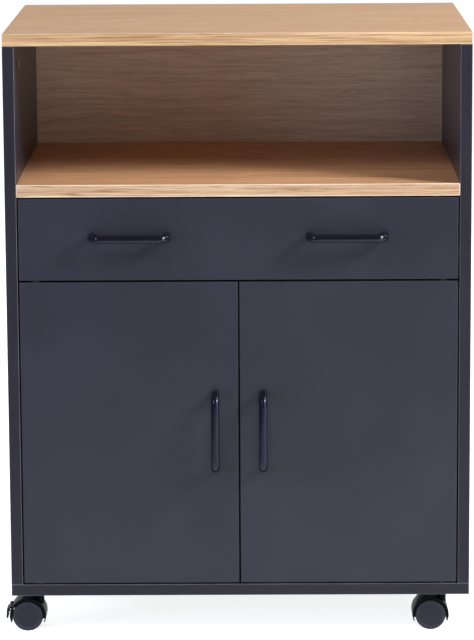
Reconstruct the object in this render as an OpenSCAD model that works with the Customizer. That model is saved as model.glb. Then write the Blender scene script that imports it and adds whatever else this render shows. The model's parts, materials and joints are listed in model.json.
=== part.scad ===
// Microwave cart: a low cabinet on four swivelling twin-wheel casters, with an open niche under
// the top board, a drawer on roller runners and a cupboard with two pivot-hung doors.
// X runs to the right, -Y is the front and Z is up. The origin is on the floor, under the middle.
// Left-hand pieces are drawn in place, and right-hand pieces are their mirror images.

/* [Cabinet] */
// Width over the side panels
cabinet_w = 600; // [580:1:640]
// Depth from the faces of the doors to the back panels
cabinet_d = 400; // [390:1:420]
// Height from the floor to the top surface
cabinet_h = 794; // [780:1:830]
// Thickness of the sides, bottom, divider, loose shelf, doors and drawer front
panel_t = 15; // [15:1:18]
// Thickness of the top board and the fixed shelf
board_t = 16; // [15:1:18]
// Thickness of the two back panels
back_t = 3; // [2.5:0.5:4]
// Clear height of the open niche
niche_h = 179; // [170:1:200]
// Height of the drawer front
drawer_front_h = 106.5; // [104:0.5:112]
// Gap round the doors and over the drawer front
front_gap = 2; // [2:0.1:3]
// Gap between the drawer front and the doors, which holds the upper hinge plates
hinge_gap = 2.5; // [2.5:0.1:3.5]
// Height of the loose shelf over the cupboard floor
loose_shelf_up = 196; // [150:1:230]

/* [Drawer] */
// Depth of the drawer box behind its front
drawer_d = 350; // [320:1:360]
// Thickness of the sides and back of the drawer
drawer_side_t = 12; // [12:0.5:13]
// Height of the drawer sides
drawer_side_h = 75; // [70:1:76]
// Thickness of the drawer bottom
drawer_bottom_t = 3; // [3:0.5:4]
// Sheet thickness of the runners
sheet_t = 1.2; // [1:0.1:1.2]
// Radius of the fixed front rollers
front_roller_r = 7.5; // [7:0.1:7.5]
// Radius of the travelling rear rollers
rear_roller_r = 8; // [7.5:0.1:8]

/* [Handles] */
// Distance between the two legs of a handle
handle_span = 96; // [96:1:128]
// Diameter of the handle bar
handle_bar = 11; // [8:0.5:11]
// Distance that a handle stands out from its panel
handle_out = 28; // [26:0.5:32]
// Bend radius of a handle on the centre line of its bar
handle_bend = 12; // [10:0.5:14]
// Distance of each drawer handle from the middle of the cart
drawer_handle_x = 140; // [120:1:180]
// Height of the drawer handles over the middle of the drawer front
drawer_handle_up = 4; // [0:0.5:10]
// Distance of each door handle from the middle of the cart
door_handle_x = 31; // [28:0.5:45]
// Height of the door handles over the middle of the doors
door_handle_up = 4; // [0:0.5:40]

/* [Hinges] */
// Distance from the hinge edge of a door to the axis of its pivot pins
pivot_in = 20; // [19:0.5:22]
// Radius of the pivot pins
pivot_r = 3; // [2.5:0.1:3]
// Thickness of the hinge plates
pivot_plate_t = 1.5; // [1.2:0.1:1.5]

/* [Casters] */
// Height of the casters from the floor to the bottom panel
caster_h = 54; // [54:0.5:58]
// Radius of the wheels
wheel_r = 20; // [19:0.5:20]
// Width of one wheel of a twin pair
wheel_w = 15.5; // [14:0.5:16]
// Distance from the swivel axis back to the axle
trail = 15; // [14.5:0.5:15]
// Distance of each swivel axis from the side face of the cabinet
swivel_in_x = 34; // [32:1:45]
// Distance of each swivel axis from the front and back of the cabinet
swivel_in_y = 38; // [34:1:50]
// Outer radius of the hood over the wheels
hood_r = 24; // [23.5:0.5:24]
// Distance from the axle to the end of a brake lever
lever_reach = 29; // [28.5:0.5:30]

/* [Hidden] */
$fn = 72;
cut = 1;                                      // how far a cutting tool runs past a face

// colours
oak = [0.80, 0.65, 0.51];
oak_shade = [0.42, 0.32, 0.27];
graphite = [0.23, 0.23, 0.28];
graphite_dark = [0.19, 0.19, 0.23];
gloss_black = [0.06, 0.06, 0.07];
nylon_black = [0.13, 0.13, 0.15];
zinc = [0.72, 0.73, 0.74];
white_nylon = [0.86, 0.86, 0.84];
beech = [0.78, 0.62, 0.42];

// planes of the cabinet
half_w = cabinet_w / 2;
half_d = (cabinet_d + handle_out) / 2;
front_y = handle_out - half_d;
back_y = half_d;
carcass_back_y = back_y - back_t;
rear_of_fronts_y = front_y + panel_t;
inner_x = half_w - panel_t;
mid_panel_x = half_w - panel_t / 2;
floor_z = caster_h + panel_t;
under_top_z = cabinet_h - board_t;
niche_floor_z = under_top_z - niche_h;
shelf_z = niche_floor_z - board_t;
drawer_top_z = shelf_z - front_gap;
drawer_low_z = drawer_top_z - drawer_front_h;
drawer_mid_z = (drawer_top_z + drawer_low_z) / 2;
door_top_z = drawer_low_z - hinge_gap;
door_low_z = floor_z + front_gap;
door_mid_z = (door_top_z + door_low_z) / 2;
divider_z = door_top_z + 2;
divider_top_z = divider_z + panel_t;
loose_shelf_z = floor_z + loose_shelf_up;
loose_shelf_front_y = front_y + 46;
shelf_slack = 1;

// cam joints and dowels
cam_rows = [front_y + 91, carcass_back_y - 46];
dowel_rows = [front_y + 61, carcass_back_y - 76];
cam_reach = 34;                               // from the joint to the cam's centre
cam_r = 7.5;
cam_depth = 12.5;
cam_play = 0.1;
bolt_r = 2.4;
bolt_bore_r = 4;
bolt_grip = 10;                               // bolt in the face-drilled board
dowel_r = 4;
dowel_grip = 11;                              // dowel in the face-drilled board
dowel_tail = 17;                              // dowel in the end-drilled board
bore_play = 0.05;

// shelf pins
pin_rows = [loose_shelf_front_y + 35, carcass_back_y - 36];
pin_r = 2.4;
pin_bore_r = 2.5;
pin_in = 9;
pin_out = 9;
pin_pitch = 32;

// drawer box, as distances from the left side panel's inner face
runner_gap = 12.5;
drawer_x = inner_x - runner_gap;
drawer_inner_x = drawer_x - drawer_side_t;
track_z = divider_top_z + 5.2;                // upper face of the fixed track
track_h = 18.4;
track_w = 10.5;
slide_web_u = runner_gap - sheet_t;
drawer_side_z = track_z + 2.8;
drawer_floor_z = drawer_side_z + 8;
drawer_back_end_y = rear_of_fronts_y + drawer_d;
groove = 6;
front_groove = 5;
groove_play = 0.1;
runner_front_y = front_y + 22;
runner_len = drawer_d;
front_roller_y = front_y + 31;
front_roller_z = track_z + 8;
front_roller_u = 2.2;
rear_roller_y = drawer_back_end_y - 10;
rear_roller_z = track_z + rear_roller_r + 0.2;
rear_roller_u = 3.5;
roller_w = 6;
roller_pin_r = 2;
roller_edge = 0.8;
roll_gap = 0.2;                               // between the slide and the front roller
slide_z = front_roller_z + front_roller_r + roll_gap;
drawer_cam_r = 6;
drawer_cam_depth = 9.5;
drawer_cam_reach = 24;
drawer_cam_rows = [drawer_side_z + 23, drawer_side_z + 58];

// screws
screw_r = 1.5;
screw_head_r = 3.2;
screw_head_h = 1.6;
flat_head_h = 0.8;
catch_head_r = 2.7;
screw_bore_r = 1.6;
handle_screw_r = 2;
handle_screw_grip = 10;

// door pivots
pivot_x = inner_x - front_gap - pivot_in;
pivot_y = front_y + panel_t / 2;
pivot_len = 11.5;
bush_r = 5;
bush_len = 12;
bush_flange_r = 6.5;
bush_flange_t = 0.45;
plate_half_w = 7;
plate_back_y = front_y + 50;
plate_screws = [rear_of_fronts_y + 13, rear_of_fronts_y + 27];
catch_x = 24;
catch_w = 34;
catch_h = 13;
catch_d = 14;
strike_t = 0.7;
catch_gap = 0.3;
catch_face_y = rear_of_fronts_y + strike_t + catch_gap;

// casters
plate_side = 38;
plate_t = 2;
plate_hole = 13.5;
swivel_pin_r = 3.5;
swivel_bore_r = 3.55;
swivel_pin_low_z = wheel_r + 20;
boss_r = 6;
boss_low_z = wheel_r + 10;
boss_top_z = caster_h - plate_t - 0.3;
hood_w = 2 * wheel_w + 3;
hood_in_r = wheel_r + 1.2;
hood_lip = 1.6;                               // how far in the two hanging tips reach
hood_step = 0.2;                              // and how far they stay inside the hood
hood_end_angle = 8;                           // below the axle, where the full hood ends
hood_tip_angle = 21;
web_t = 3;
web_gap = 0.5;
web_low = 8;
axle_r = 3;
wheel_bore_r = 3.05;
wheel_bore_d = 12;
wheel_hub_r = 6.5;
wheel_rim_t = 3.5;
wheel_pocket = 11;
wheel_edge = 1.6;
wheel_dish_r = 15.5;
wheel_dish = 0.5;
axle_half = web_t / 2 + web_gap + wheel_bore_d - 0.5;

// brake lever, from the axle, on the side away from the swivel
lever_pivot = [-wheel_r - 2.8, 9];
lever_w = 20;
lever_bore_r = 1.06;
lever_pin_r = 1;
lever_pin_bore_r = 1.03;
lever_barrel_r = 2.2;
lever_bar_r = 1.3;
lever_knee = [lever_bar_r - lever_reach + 0.7, 7];
lever_tip = [lever_bar_r - lever_reach, -3.4];
toe_r = 0.8;
toe_len = 3.7;
toe_angle = -51.5;
lug_r = 3;
lug_t = 4;
slot_play = 0.4;
slot_from = 150;
slot_to = 172;

// ---- helpers ----

module block(low, high) {
  translate(low) cube(high - low);
}

module right() {
  mirror([1, 0, 0]) children();
}

module both_sides() {
  children();
  right() children();
}

// a box by its distances inwards from the left side panel's inner face
module left_block(u0, u1, y0, y1, z0, z1) {
  block([u0 - inner_x, y0, z0], [u1 - inner_x, y1, z1]);
}

// a round bar along X, from distance u0 to u1 inwards of the left side panel
module left_rod(u0, u1, y, z, r) {
  translate([u0 - inner_x, y, z]) rotate([0, 90, 0]) cylinder(r = r, h = u1 - u0);
}

// a round bar along Y
module deep_rod(x, y0, y1, z, r) {
  translate([x, y1, z]) rotate([90, 0, 0]) cylinder(r = r, h = y1 - y0);
}

module rod(x, y, z0, z1, r) {
  translate([x, y, z0]) cylinder(r = r, h = z1 - z0);
}

// a screw whose head stands on z = 0 and whose shank points down
module screw(length, head_h = screw_head_h, r = screw_r, head_r = screw_head_r) {
  point = 2 * r;
  cylinder(r = head_r, h = head_h);
  translate([0, 0, point - length]) cylinder(r = r, h = length - point);
  translate([0, 0, -length]) cylinder(r1 = 0.2, r2 = r, h = point);
}

// a bar along a chain of points in the XZ plane, rounded where it bends and ends; its sides lie
// just inside the round corners
module chain(points, r, width) {
  for (i = [1:len(points) - 1]) {
    p = points[i - 1];
    q = points[i];
    side = 0.95 * r * [p[1] - q[1], q[0] - p[0]] / norm(q - p);
    upright(width) polygon([p + side, q + side, q - side, p - side]);
    upright(width) translate(q) circle(r = r);
  }
}

module ring(inner, outer) {
  difference() {
    circle(r = outer);
    circle(r = inner);
  }
}

// the part of a flat outline that lies more than an angle below the horizontal
module below(angle) {
  far = 60;
  edge = far * [cos(angle), -sin(angle)];
  polygon([[0, 0], edge, [far, -far], [-far, -far], [-edge[0], edge[1]]]);
}

// ---- cam joints ----
// In a joint's own frame Z points into the board that is drilled in its face, and X points to
// the face of the other board, in which the cams lie.

module at_top_joint() {
  translate([-mid_panel_x, 0, under_top_z]) children();
}

module at_bottom_joint() {
  translate([-mid_panel_x, 0, floor_z]) mirror([0, 0, 1]) children();
}

module at_shelf_joint() {
  translate([-inner_x, 0, shelf_z + board_t / 2]) rotate([0, -90, 0]) mirror([1, 0, 0]) children();
}

module at_divider_joint() {
  translate([-inner_x, 0, divider_z + panel_t / 2]) rotate([0, -90, 0]) mirror([1, 0, 0])
    children();
}

module face_bores() {
  for (y = cam_rows) rod(0, y, -cut, bolt_grip + cut, bolt_r + bore_play);
  for (y = dowel_rows) rod(0, y, -cut, dowel_grip + 0.2, dowel_r + bore_play);
}

module end_bores(thickness) {
  for (y = cam_rows) {
    rod(0, y, -cam_reach, cut, bolt_bore_r);
    translate([thickness / 2 - cam_depth, y, -cam_reach]) rotate([0, 90, 0])
      cylinder(r = cam_r, h = cam_depth + cut);
  }
  for (y = dowel_rows) rod(0, y, -dowel_tail - 0.2, cut, dowel_r + bore_play);
}

module joint_cams(thickness) {
  recess = 0.3;
  slot = [1.4, 1.2, 8];
  for (y = cam_rows) difference() {
    translate([thickness / 2 - cam_depth + cam_play, y, -cam_reach]) rotate([0, 90, 0])
      cylinder(r = cam_r - cam_play, h = cam_depth - recess - cam_play);
    rod(0, y, -cam_reach - bolt_r - cam_play, 0, bolt_r + bore_play);
    translate([thickness / 2 - recess - slot[0], y, -cam_reach]) {
      translate([0, -slot[1] / 2, -slot[2] / 2]) cube([2 * slot[0], slot[1], slot[2]]);
      translate([0, -slot[2] / 2, -slot[1] / 2]) cube([2 * slot[0], slot[2], slot[1]]);
    }
  }
}

module joint_bolts() {
  for (y = cam_rows) {
    rod(0, y, -cam_reach, bolt_grip, bolt_r);
    rod(0, y, -3, 0, bolt_bore_r - 0.3);
  }
}

module joint_dowels() {
  for (y = dowel_rows) rod(0, y, -dowel_tail, dowel_grip, dowel_r);
}

// ---- boards of the cabinet ----

module top_board() color(oak) difference() {
  block([-half_w, front_y, under_top_z], [half_w, back_y, cabinet_h]);
  both_sides() at_top_joint() face_bores();
}

// the bore of a back panel's screw in the rear edge of a board
module back_screw_bore(place)
  deep_rod(place[0], carcass_back_y - 12, carcass_back_y + cut, place[1], screw_bore_r);

// the bore and countersink of a screw in a back panel
module back_screw_hole(place) {
  deep_rod(place[0], carcass_back_y - cut, back_y + cut, place[1], screw_bore_r);
  deep_rod(place[0], back_y - flat_head_h, back_y + cut, place[1], screw_head_r + 0.1);
}

module side_panel() difference() {
  block([-half_w, front_y, floor_z], [-inner_x, carcass_back_y, under_top_z]);
  at_top_joint() end_bores(panel_t);
  at_bottom_joint() end_bores(panel_t);
  at_shelf_joint() face_bores();
  at_divider_joint() face_bores();
  for (y = pin_rows, row = [-1:1])
    left_rod(-pin_in - cut, cut, y, loose_shelf_z - pin_r + row * pin_pitch, pin_bore_r);
  for (y = runner_screws) left_rod(-10 - cut, cut, y, track_z + track_h / 2, screw_bore_r);
  for (z = concat(back_screw_z, niche_screw_z)) back_screw_bore([-mid_panel_x, z]);
}

module left_side_panel() color(graphite) side_panel();

module right_side_panel() color(graphite) right() side_panel();

module bottom_panel() color(graphite) difference() {
  block([-half_w, front_y, caster_h], [half_w, carcass_back_y, floor_z]);
  both_sides() at_bottom_joint() face_bores();
  both_sides() for (y = plate_screws) rod(-pivot_x, y, floor_z - 11, floor_z + cut, screw_bore_r);
  for (c = CASTERS, sx = [-1, 1], sy = [-1, 1])
    rod(c[0] + sx * plate_hole, c[1] + sy * plate_hole, caster_h - cut, caster_h + 12.2, screw_bore_r);
  for (x = low_back_x) back_screw_bore([x, caster_h + panel_t / 2]);
}

module fixed_shelf() color(oak) difference() {
  block([-inner_x, front_y, shelf_z], [inner_x, carcass_back_y, niche_floor_z]);
  both_sides() at_shelf_joint() end_bores(board_t);
}

module divider_panel() color(graphite_dark) difference() {
  block([-inner_x, rear_of_fronts_y + 1, divider_z], [inner_x, carcass_back_y, divider_top_z]);
  both_sides() at_divider_joint() end_bores(panel_t);
  both_sides() {
    for (y = plate_screws) rod(-pivot_x, y, divider_z - cut, divider_z + 11, screw_bore_r);
    for (x = catch_screws)
      rod(x, catch_face_y + catch_d / 2, divider_z - cut, divider_z + 9, screw_bore_r);
  }
  for (x = low_back_x) back_screw_bore([x, divider_z + panel_t / 2]);
}

module loose_shelf() color(graphite_dark)
  block([shelf_slack - inner_x, loose_shelf_front_y, loose_shelf_z],
    [inner_x - shelf_slack, carcass_back_y - 6, loose_shelf_z + panel_t]);

back_edge = 2;                                // how far the back panels stay inside the outline
back_split_z = shelf_z + board_t / 2;

module niche_back_panel() color(oak_shade) difference() {
  block([back_edge - half_w, carcass_back_y, back_split_z + 0.5],
    [half_w - back_edge, back_y, under_top_z - 0.5]);
  for (p = niche_back_screws) back_screw_hole(p);
}

module lower_back_panel() color(graphite_dark) difference() {
  block([back_edge - half_w, carcass_back_y, caster_h + back_edge],
    [half_w - back_edge, back_y, back_split_z - 0.5]);
  for (p = lower_back_screws) back_screw_hole(p);
}

module shelf_pins() color(zinc) both_sides() for (y = pin_rows) {
  left_rod(-pin_in, pin_out, y, loose_shelf_z - pin_r, pin_r);
  left_block(0, pin_out, y - 4, y + 4, loose_shelf_z - 1.4, loose_shelf_z);
}

module cam_locks() color(zinc) both_sides() {
  at_top_joint() joint_cams(panel_t);
  at_bottom_joint() joint_cams(panel_t);
  at_shelf_joint() joint_cams(board_t);
  at_divider_joint() joint_cams(panel_t);
}

module cam_bolts() color(zinc) both_sides() {
  at_top_joint() joint_bolts();
  at_bottom_joint() joint_bolts();
  at_shelf_joint() joint_bolts();
  at_divider_joint() joint_bolts();
}

module dowels() color(beech) both_sides() {
  at_top_joint() joint_dowels();
  at_bottom_joint() joint_dowels();
  at_shelf_joint() joint_dowels();
  at_divider_joint() joint_dowels();
}

// ---- screws of the cabinet ----

runner_screws = [runner_front_y + 40, runner_front_y + 165, runner_front_y + 305];
catch_screws = [catch_w / 2 - 3 - catch_x, 3 - catch_w / 2 - catch_x];
back_screw_z = [floor_z + 60, (floor_z + shelf_z) / 2, shelf_z - 60];
niche_screw_z = [niche_floor_z + 30, under_top_z - 30];
low_back_x = [-half_w / 2, 0, half_w / 2];
niche_back_screws = [for (x = [-mid_panel_x, mid_panel_x], z = niche_screw_z) [x, z]];
lower_back_screws = concat(
  [for (x = [-mid_panel_x, mid_panel_x], z = back_screw_z) [x, z]],
  [for (x = low_back_x, z = [caster_h + panel_t / 2, divider_z + panel_t / 2]) [x, z]]);

module cabinet_screws() color(zinc) {
  both_sides() {
    for (y = runner_screws)
      translate([sheet_t - inner_x, y, track_z + track_h / 2]) rotate([0, 90, 0]) screw(10, flat_head_h);
    for (y = plate_screws) {
      translate([-pivot_x, y, floor_z + pivot_plate_t - flat_head_h]) screw(10, flat_head_h);
      translate([-pivot_x, y, divider_z - pivot_plate_t + flat_head_h]) mirror([0, 0, 1])
        screw(10, flat_head_h);
    }
    for (x = catch_screws)
      translate([x, catch_face_y + catch_d / 2, divider_z - catch_ear_t]) mirror([0, 0, 1])
        screw(10, screw_head_h, screw_r, catch_head_r);
  }
  for (c = CASTERS, sx = [-1, 1], sy = [-1, 1])
    translate([c[0] + sx * plate_hole, c[1] + sy * plate_hole, caster_h - plate_t]) mirror([0, 0, 1])
      screw(14);
  for (p = concat(niche_back_screws, lower_back_screws))
    translate([p[0], back_y - flat_head_h, p[1]]) rotate([-90, 0, 0]) screw(14, flat_head_h);
}

// ---- drawer runners ----

// a roller with rounded edges, its axis along X, from distance u inwards of the left side panel
module roller(u, y, z, r) {
  translate([u - inner_x, y, z]) rotate([0, 90, 0]) rotate_extrude() difference() {
    union() {
      square([r - roller_edge, roller_w]);
      translate([0, roller_edge]) square([r, roller_w - 2 * roller_edge]);
      for (w = [roller_edge, roller_w - roller_edge]) translate([r - roller_edge, w])
        circle(r = roller_edge);
    }
    translate([0, -cut]) square([roller_pin_r + bore_play, roller_w + 2 * cut]);
  }
}

// fixed track with its screwed web, two flanges and the stub that carries the front roller
module cabinet_runner() {
  low = track_z - sheet_t;
  high = track_z + track_h + sheet_t;
  end_y = runner_front_y + runner_len;
  gate_y = front_roller_y + front_roller_r + 8;
  difference() {
    left_block(0, sheet_t, runner_front_y, end_y, low, high);
    for (y = runner_screws) left_rod(-cut, sheet_t + cut, y, track_z + track_h / 2, screw_bore_r);
  }
  left_block(0, track_w, runner_front_y, end_y, low, track_z);
  left_block(0, track_w, gate_y, end_y, high - sheet_t, high);
  left_rod(0, front_roller_u + roller_w + 0.4, front_roller_y, front_roller_z, roller_pin_r);
  left_rod(front_roller_u + roller_w + 0.4, front_roller_u + roller_w + 1, front_roller_y,
    front_roller_z, roller_pin_r + 1.2);
}

module left_cabinet_runner() color(zinc) cabinet_runner();

module right_cabinet_runner() color(zinc) right() cabinet_runner();

module left_front_roller() color(white_nylon)
  roller(front_roller_u, front_roller_y, front_roller_z, front_roller_r);

module right_front_roller() color(white_nylon) right()
  roller(front_roller_u, front_roller_y, front_roller_z, front_roller_r);

// slide under the drawer side: a web, a foot, an outer flange and the stub of the rear roller
module drawer_runner() {
  web = slide_web_u;
  top = slide_z + sheet_t;
  head_u = rear_roller_u - 1;
  difference() {
    left_block(web, runner_gap, rear_of_fronts_y, drawer_back_end_y, drawer_side_z - sheet_t, top);
    for (y = slide_screws) left_rod(web - cut, runner_gap + cut, y, drawer_side_z + 4, screw_bore_r);
  }
  left_block(web, runner_gap + 9, rear_of_fronts_y, drawer_back_end_y, drawer_side_z - sheet_t,
    drawer_side_z);
  left_block(front_roller_u + 0.3, web + 0.1, rear_of_fronts_y,
    rear_roller_y - rear_roller_r - 3, slide_z, top);
  left_rod(rear_roller_u - 0.4, web + 0.1, rear_roller_y, rear_roller_z, roller_pin_r);
  left_rod(head_u, rear_roller_u - 0.4, rear_roller_y, rear_roller_z, roller_pin_r + 1.2);
}

slide_screws = [rear_of_fronts_y + 45, rear_of_fronts_y + 180, drawer_back_end_y - 45];

module left_drawer_runner() color(zinc) drawer_runner();

module right_drawer_runner() color(zinc) right() drawer_runner();

module left_rear_roller() color(white_nylon)
  roller(rear_roller_u, rear_roller_y, rear_roller_z, rear_roller_r);

module right_rear_roller() color(white_nylon) right()
  roller(rear_roller_u, rear_roller_y, rear_roller_z, rear_roller_r);

// ---- drawer ----

drawer_mid_side_x = drawer_x - drawer_side_t / 2;
groove_end_x = drawer_inner_x + groove + groove_play;
back_screw_rows = [drawer_side_z + 28, drawer_side_z + 58];
handle_feet = [-handle_span / 2, handle_span / 2];

module drawer_front() color(graphite) difference() {
  block([front_gap - inner_x, front_y, drawer_low_z], [inner_x - front_gap, rear_of_fronts_y, drawer_top_z]);
  block([-groove_end_x, rear_of_fronts_y - front_groove, drawer_floor_z - groove_play],
    [groove_end_x, rear_of_fronts_y + cut, drawer_floor_z + drawer_bottom_t + groove_play]);
  for (side = [-1, 1], foot = handle_feet)
    deep_rod(side * drawer_handle_x + foot, front_y - cut, rear_of_fronts_y + cut,
      drawer_mid_z + drawer_handle_up, handle_screw_r + 0.2);
  for (side = [-1, 1], z = drawer_cam_rows)
    deep_rod(side * drawer_mid_side_x, rear_of_fronts_y - bolt_grip - cut, rear_of_fronts_y + cut, z,
      bolt_r + bore_play);
}

module drawer_side() difference() {
  u0 = runner_gap;
  u1 = runner_gap + drawer_side_t;
  left_block(u0, u1, rear_of_fronts_y, drawer_back_end_y, drawer_side_z, drawer_side_z + drawer_side_h);
  left_block(u1 - groove - groove_play, u1 + cut, rear_of_fronts_y - cut, drawer_back_end_y + cut,
    drawer_floor_z - groove_play, drawer_floor_z + drawer_bottom_t + groove_play);
  for (z = drawer_cam_rows) {
    left_rod(u1 - drawer_cam_depth, u1 + cut, rear_of_fronts_y + drawer_cam_reach, z, drawer_cam_r);
    deep_rod(-drawer_mid_side_x, rear_of_fronts_y - cut, rear_of_fronts_y + drawer_cam_reach, z,
      bolt_r + 0.4);
  }
  for (y = slide_screws) left_rod(u0 - cut, u0 + 8, y, drawer_side_z + 4, screw_bore_r);
  for (z = back_screw_rows)
    left_rod(u0 - cut, u1 + cut, drawer_back_end_y - drawer_side_t / 2, z, screw_bore_r);
}

module left_drawer_side() color(graphite_dark) drawer_side();

module right_drawer_side() color(graphite_dark) right() drawer_side();

module drawer_back() color(graphite_dark) difference() {
  block([-drawer_inner_x, drawer_back_end_y - drawer_side_t, drawer_floor_z + drawer_bottom_t],
    [drawer_inner_x, drawer_back_end_y, drawer_side_z + drawer_side_h]);
  both_sides() for (z = back_screw_rows)
    left_rod(runner_gap + drawer_side_t - cut, runner_gap + drawer_side_t + 16,
      drawer_back_end_y - drawer_side_t / 2, z, screw_bore_r);
}

module drawer_bottom() color(graphite_dark)
  block([-drawer_inner_x - groove, rear_of_fronts_y - front_groove + groove_play, drawer_floor_z],
    [drawer_inner_x + groove, drawer_back_end_y, drawer_floor_z + drawer_bottom_t]);

module drawer_cams() color(zinc) both_sides() for (z = drawer_cam_rows) difference() {
  left_rod(runner_gap + drawer_side_t - drawer_cam_depth + cam_play, runner_gap + drawer_side_t - 0.3,
    rear_of_fronts_y + drawer_cam_reach, z, drawer_cam_r - cam_play);
  deep_rod(-drawer_mid_side_x, rear_of_fronts_y, rear_of_fronts_y + drawer_cam_reach + 2, z,
    bolt_r + bore_play);
}

// bolts of the drawer front, and the screws of the drawer back, the slides and the handles
module drawer_screws() color(zinc) {
  both_sides() {
    for (z = drawer_cam_rows)
      deep_rod(-drawer_mid_side_x, rear_of_fronts_y - bolt_grip, rear_of_fronts_y + drawer_cam_reach, z,
        bolt_r);
    for (y = slide_screws)
      translate([slide_web_u - inner_x, y, drawer_side_z + 4]) rotate([0, -90, 0])
        screw(8, flat_head_h);
    for (z = back_screw_rows)
      translate([-drawer_x, drawer_back_end_y - drawer_side_t / 2, z]) rotate([0, -90, 0]) screw(26);
  }
  for (side = [-1, 1], foot = handle_feet)
    translate([side * drawer_handle_x + foot, rear_of_fronts_y, drawer_mid_z + drawer_handle_up])
      handle_screw();
}

// ---- handles ----

// a bow handle along X, with its feet on y = 0 and its bar towards -Y
module bow_handle() {
  bar_r = handle_bar / 2;
  bar_y = bar_r - handle_out;
  bend_x = handle_span / 2 - handle_bend;
  difference() {
    union() {
      translate([-bend_x, bar_y, 0]) rotate([0, 90, 0]) cylinder(r = bar_r, h = 2 * bend_x);
      for (side = [0, 1]) mirror([side, 0, 0]) {
        translate([bend_x, bar_y + handle_bend, 0]) rotate([0, 0, -90]) rotate_extrude(angle = 90)
          translate([handle_bend, 0]) circle(r = bar_r);
        deep_rod(handle_span / 2, bar_y + handle_bend, 0, 0, bar_r);
      }
    }
    for (x = handle_feet) deep_rod(x, -handle_screw_grip - cut, cut, 0, handle_screw_r + bore_play);
  }
}

// a machine screw from the rear face of a front, through it and into a handle's foot
module handle_screw() {
  length = panel_t + handle_screw_grip;
  rotate([-90, 0, 0]) {
    cylinder(r = 4, h = 2.4);
    translate([0, 0, -length]) cylinder(r = handle_screw_r, h = length);
  }
}

module drawer_handles() color(gloss_black) for (side = [-1, 1])
  translate([side * drawer_handle_x, front_y, drawer_mid_z + drawer_handle_up]) bow_handle();

module door_handle() {
  translate([-door_handle_x, front_y, door_mid_z + door_handle_up]) rotate([0, 90, 0]) bow_handle();
}

module left_door_handle() color(gloss_black) door_handle();

module right_door_handle() color(gloss_black) right() door_handle();

// ---- doors ----

module door() difference() {
  block([front_gap - inner_x, front_y, door_low_z], [-front_gap / 2, rear_of_fronts_y, door_top_z]);
  rod(-pivot_x, pivot_y, door_low_z - cut, door_low_z + bush_len + 0.2, bush_r + bore_play);
  rod(-pivot_x, pivot_y, door_top_z - bush_len - 0.2, door_top_z + cut, bush_r + bore_play);
  for (foot = handle_feet)
    deep_rod(-door_handle_x, front_y - cut, rear_of_fronts_y + cut, door_mid_z + door_handle_up + foot,
      handle_screw_r + 0.2);
  deep_rod(-catch_x, rear_of_fronts_y - 9, rear_of_fronts_y + cut, strike_z, screw_bore_r);
}

strike_z = door_top_z - 7;

module left_door() color(graphite) door();

module right_door() color(graphite) right() door();

// a flanged bush with its flange below, at the lower edge of a door
module bush() difference() {
  union() {
    cylinder(r = bush_r, h = bush_len);
    translate([0, 0, -bush_flange_t]) cylinder(r = bush_flange_r, h = bush_flange_t);
  }
  translate([0, 0, -cut]) cylinder(r = pivot_r + bore_play, h = bush_len + 2 * cut);
}

module door_bushes() {
  translate([-pivot_x, pivot_y, door_low_z]) bush();
  translate([-pivot_x, pivot_y, door_top_z]) mirror([0, 0, 1]) bush();
}

module left_door_bushes() color(nylon_black) door_bushes();

module right_door_bushes() color(nylon_black) right() door_bushes();

// the strike plate of the catch, its screw and the two handle screws
module door_fittings() {
  difference() {
    block([-catch_x - 12, rear_of_fronts_y, strike_z - 6], [12 - catch_x, rear_of_fronts_y + strike_t,
      strike_z + 6]);
    deep_rod(-catch_x, rear_of_fronts_y - cut, rear_of_fronts_y + strike_t + cut, strike_z, screw_bore_r);
  }
  deep_rod(-catch_x, rear_of_fronts_y - 9, rear_of_fronts_y + strike_t, strike_z, screw_r);
  for (foot = handle_feet)
    translate([-door_handle_x, rear_of_fronts_y, door_mid_z + door_handle_up + foot]) handle_screw();
}

module left_door_fittings() color(zinc) door_fittings();

module right_door_fittings() color(zinc) right() door_fittings();

// a hinge plate that lies on z = 0 upwards, with its pin standing on it
module pivot_plate() {
  difference() {
    union() {
      cylinder(r = plate_half_w, h = pivot_plate_t);
      block([-plate_half_w, 0, 0], [plate_half_w, plate_back_y - pivot_y, pivot_plate_t]);
    }
    for (y = plate_screws) translate([0, y - pivot_y, 0]) {
      translate([0, 0, -cut]) cylinder(r = screw_bore_r, h = pivot_plate_t + 2 * cut);
      translate([0, 0, pivot_plate_t - flat_head_h]) cylinder(r = screw_head_r + 0.1, h = 2 * cut);
    }
  }
  translate([0, 0, pivot_plate_t]) cylinder(r = pivot_r, h = pivot_len);
}

module pivot_plates() color(gloss_black) both_sides() {
  translate([-pivot_x, pivot_y, floor_z]) pivot_plate();
  translate([-pivot_x, pivot_y, divider_z]) mirror([0, 0, 1]) pivot_plate();
}

catch_ear_t = 3;

// magnetic catches: a moulded body with two screwed ears, and two steel poles in front
module magnetic_catches() color(nylon_black) both_sides() {
  ear = 6;
  difference() {
    union() {
      block([-catch_x - catch_w / 2, catch_face_y + 0.6, divider_z - catch_ear_t],
        [catch_w / 2 - catch_x, catch_face_y + catch_d, divider_z]);
      block([-catch_x - catch_w / 2 + ear, catch_face_y + 0.6, divider_z - catch_h],
        [catch_w / 2 - ear - catch_x, catch_face_y + catch_d, divider_z]);
    }
    for (x = catch_screws)
      rod(x, catch_face_y + catch_d / 2, divider_z - catch_ear_t - cut, divider_z + cut, screw_bore_r);
    for (z = catch_poles) block([-catch_x - 9, catch_face_y, z], [9 - catch_x, catch_face_y + 10, z + 2]);
  }
  for (z = catch_poles) block([-catch_x - 9, catch_face_y, z], [9 - catch_x, catch_face_y + 10, z + 2]);
}

catch_poles = [divider_z - catch_h + 1.5, divider_z - catch_h + 7];

// ---- casters ----
// In a caster's own frame the swivel axis is Z, and the wheels trail towards -X.

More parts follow.
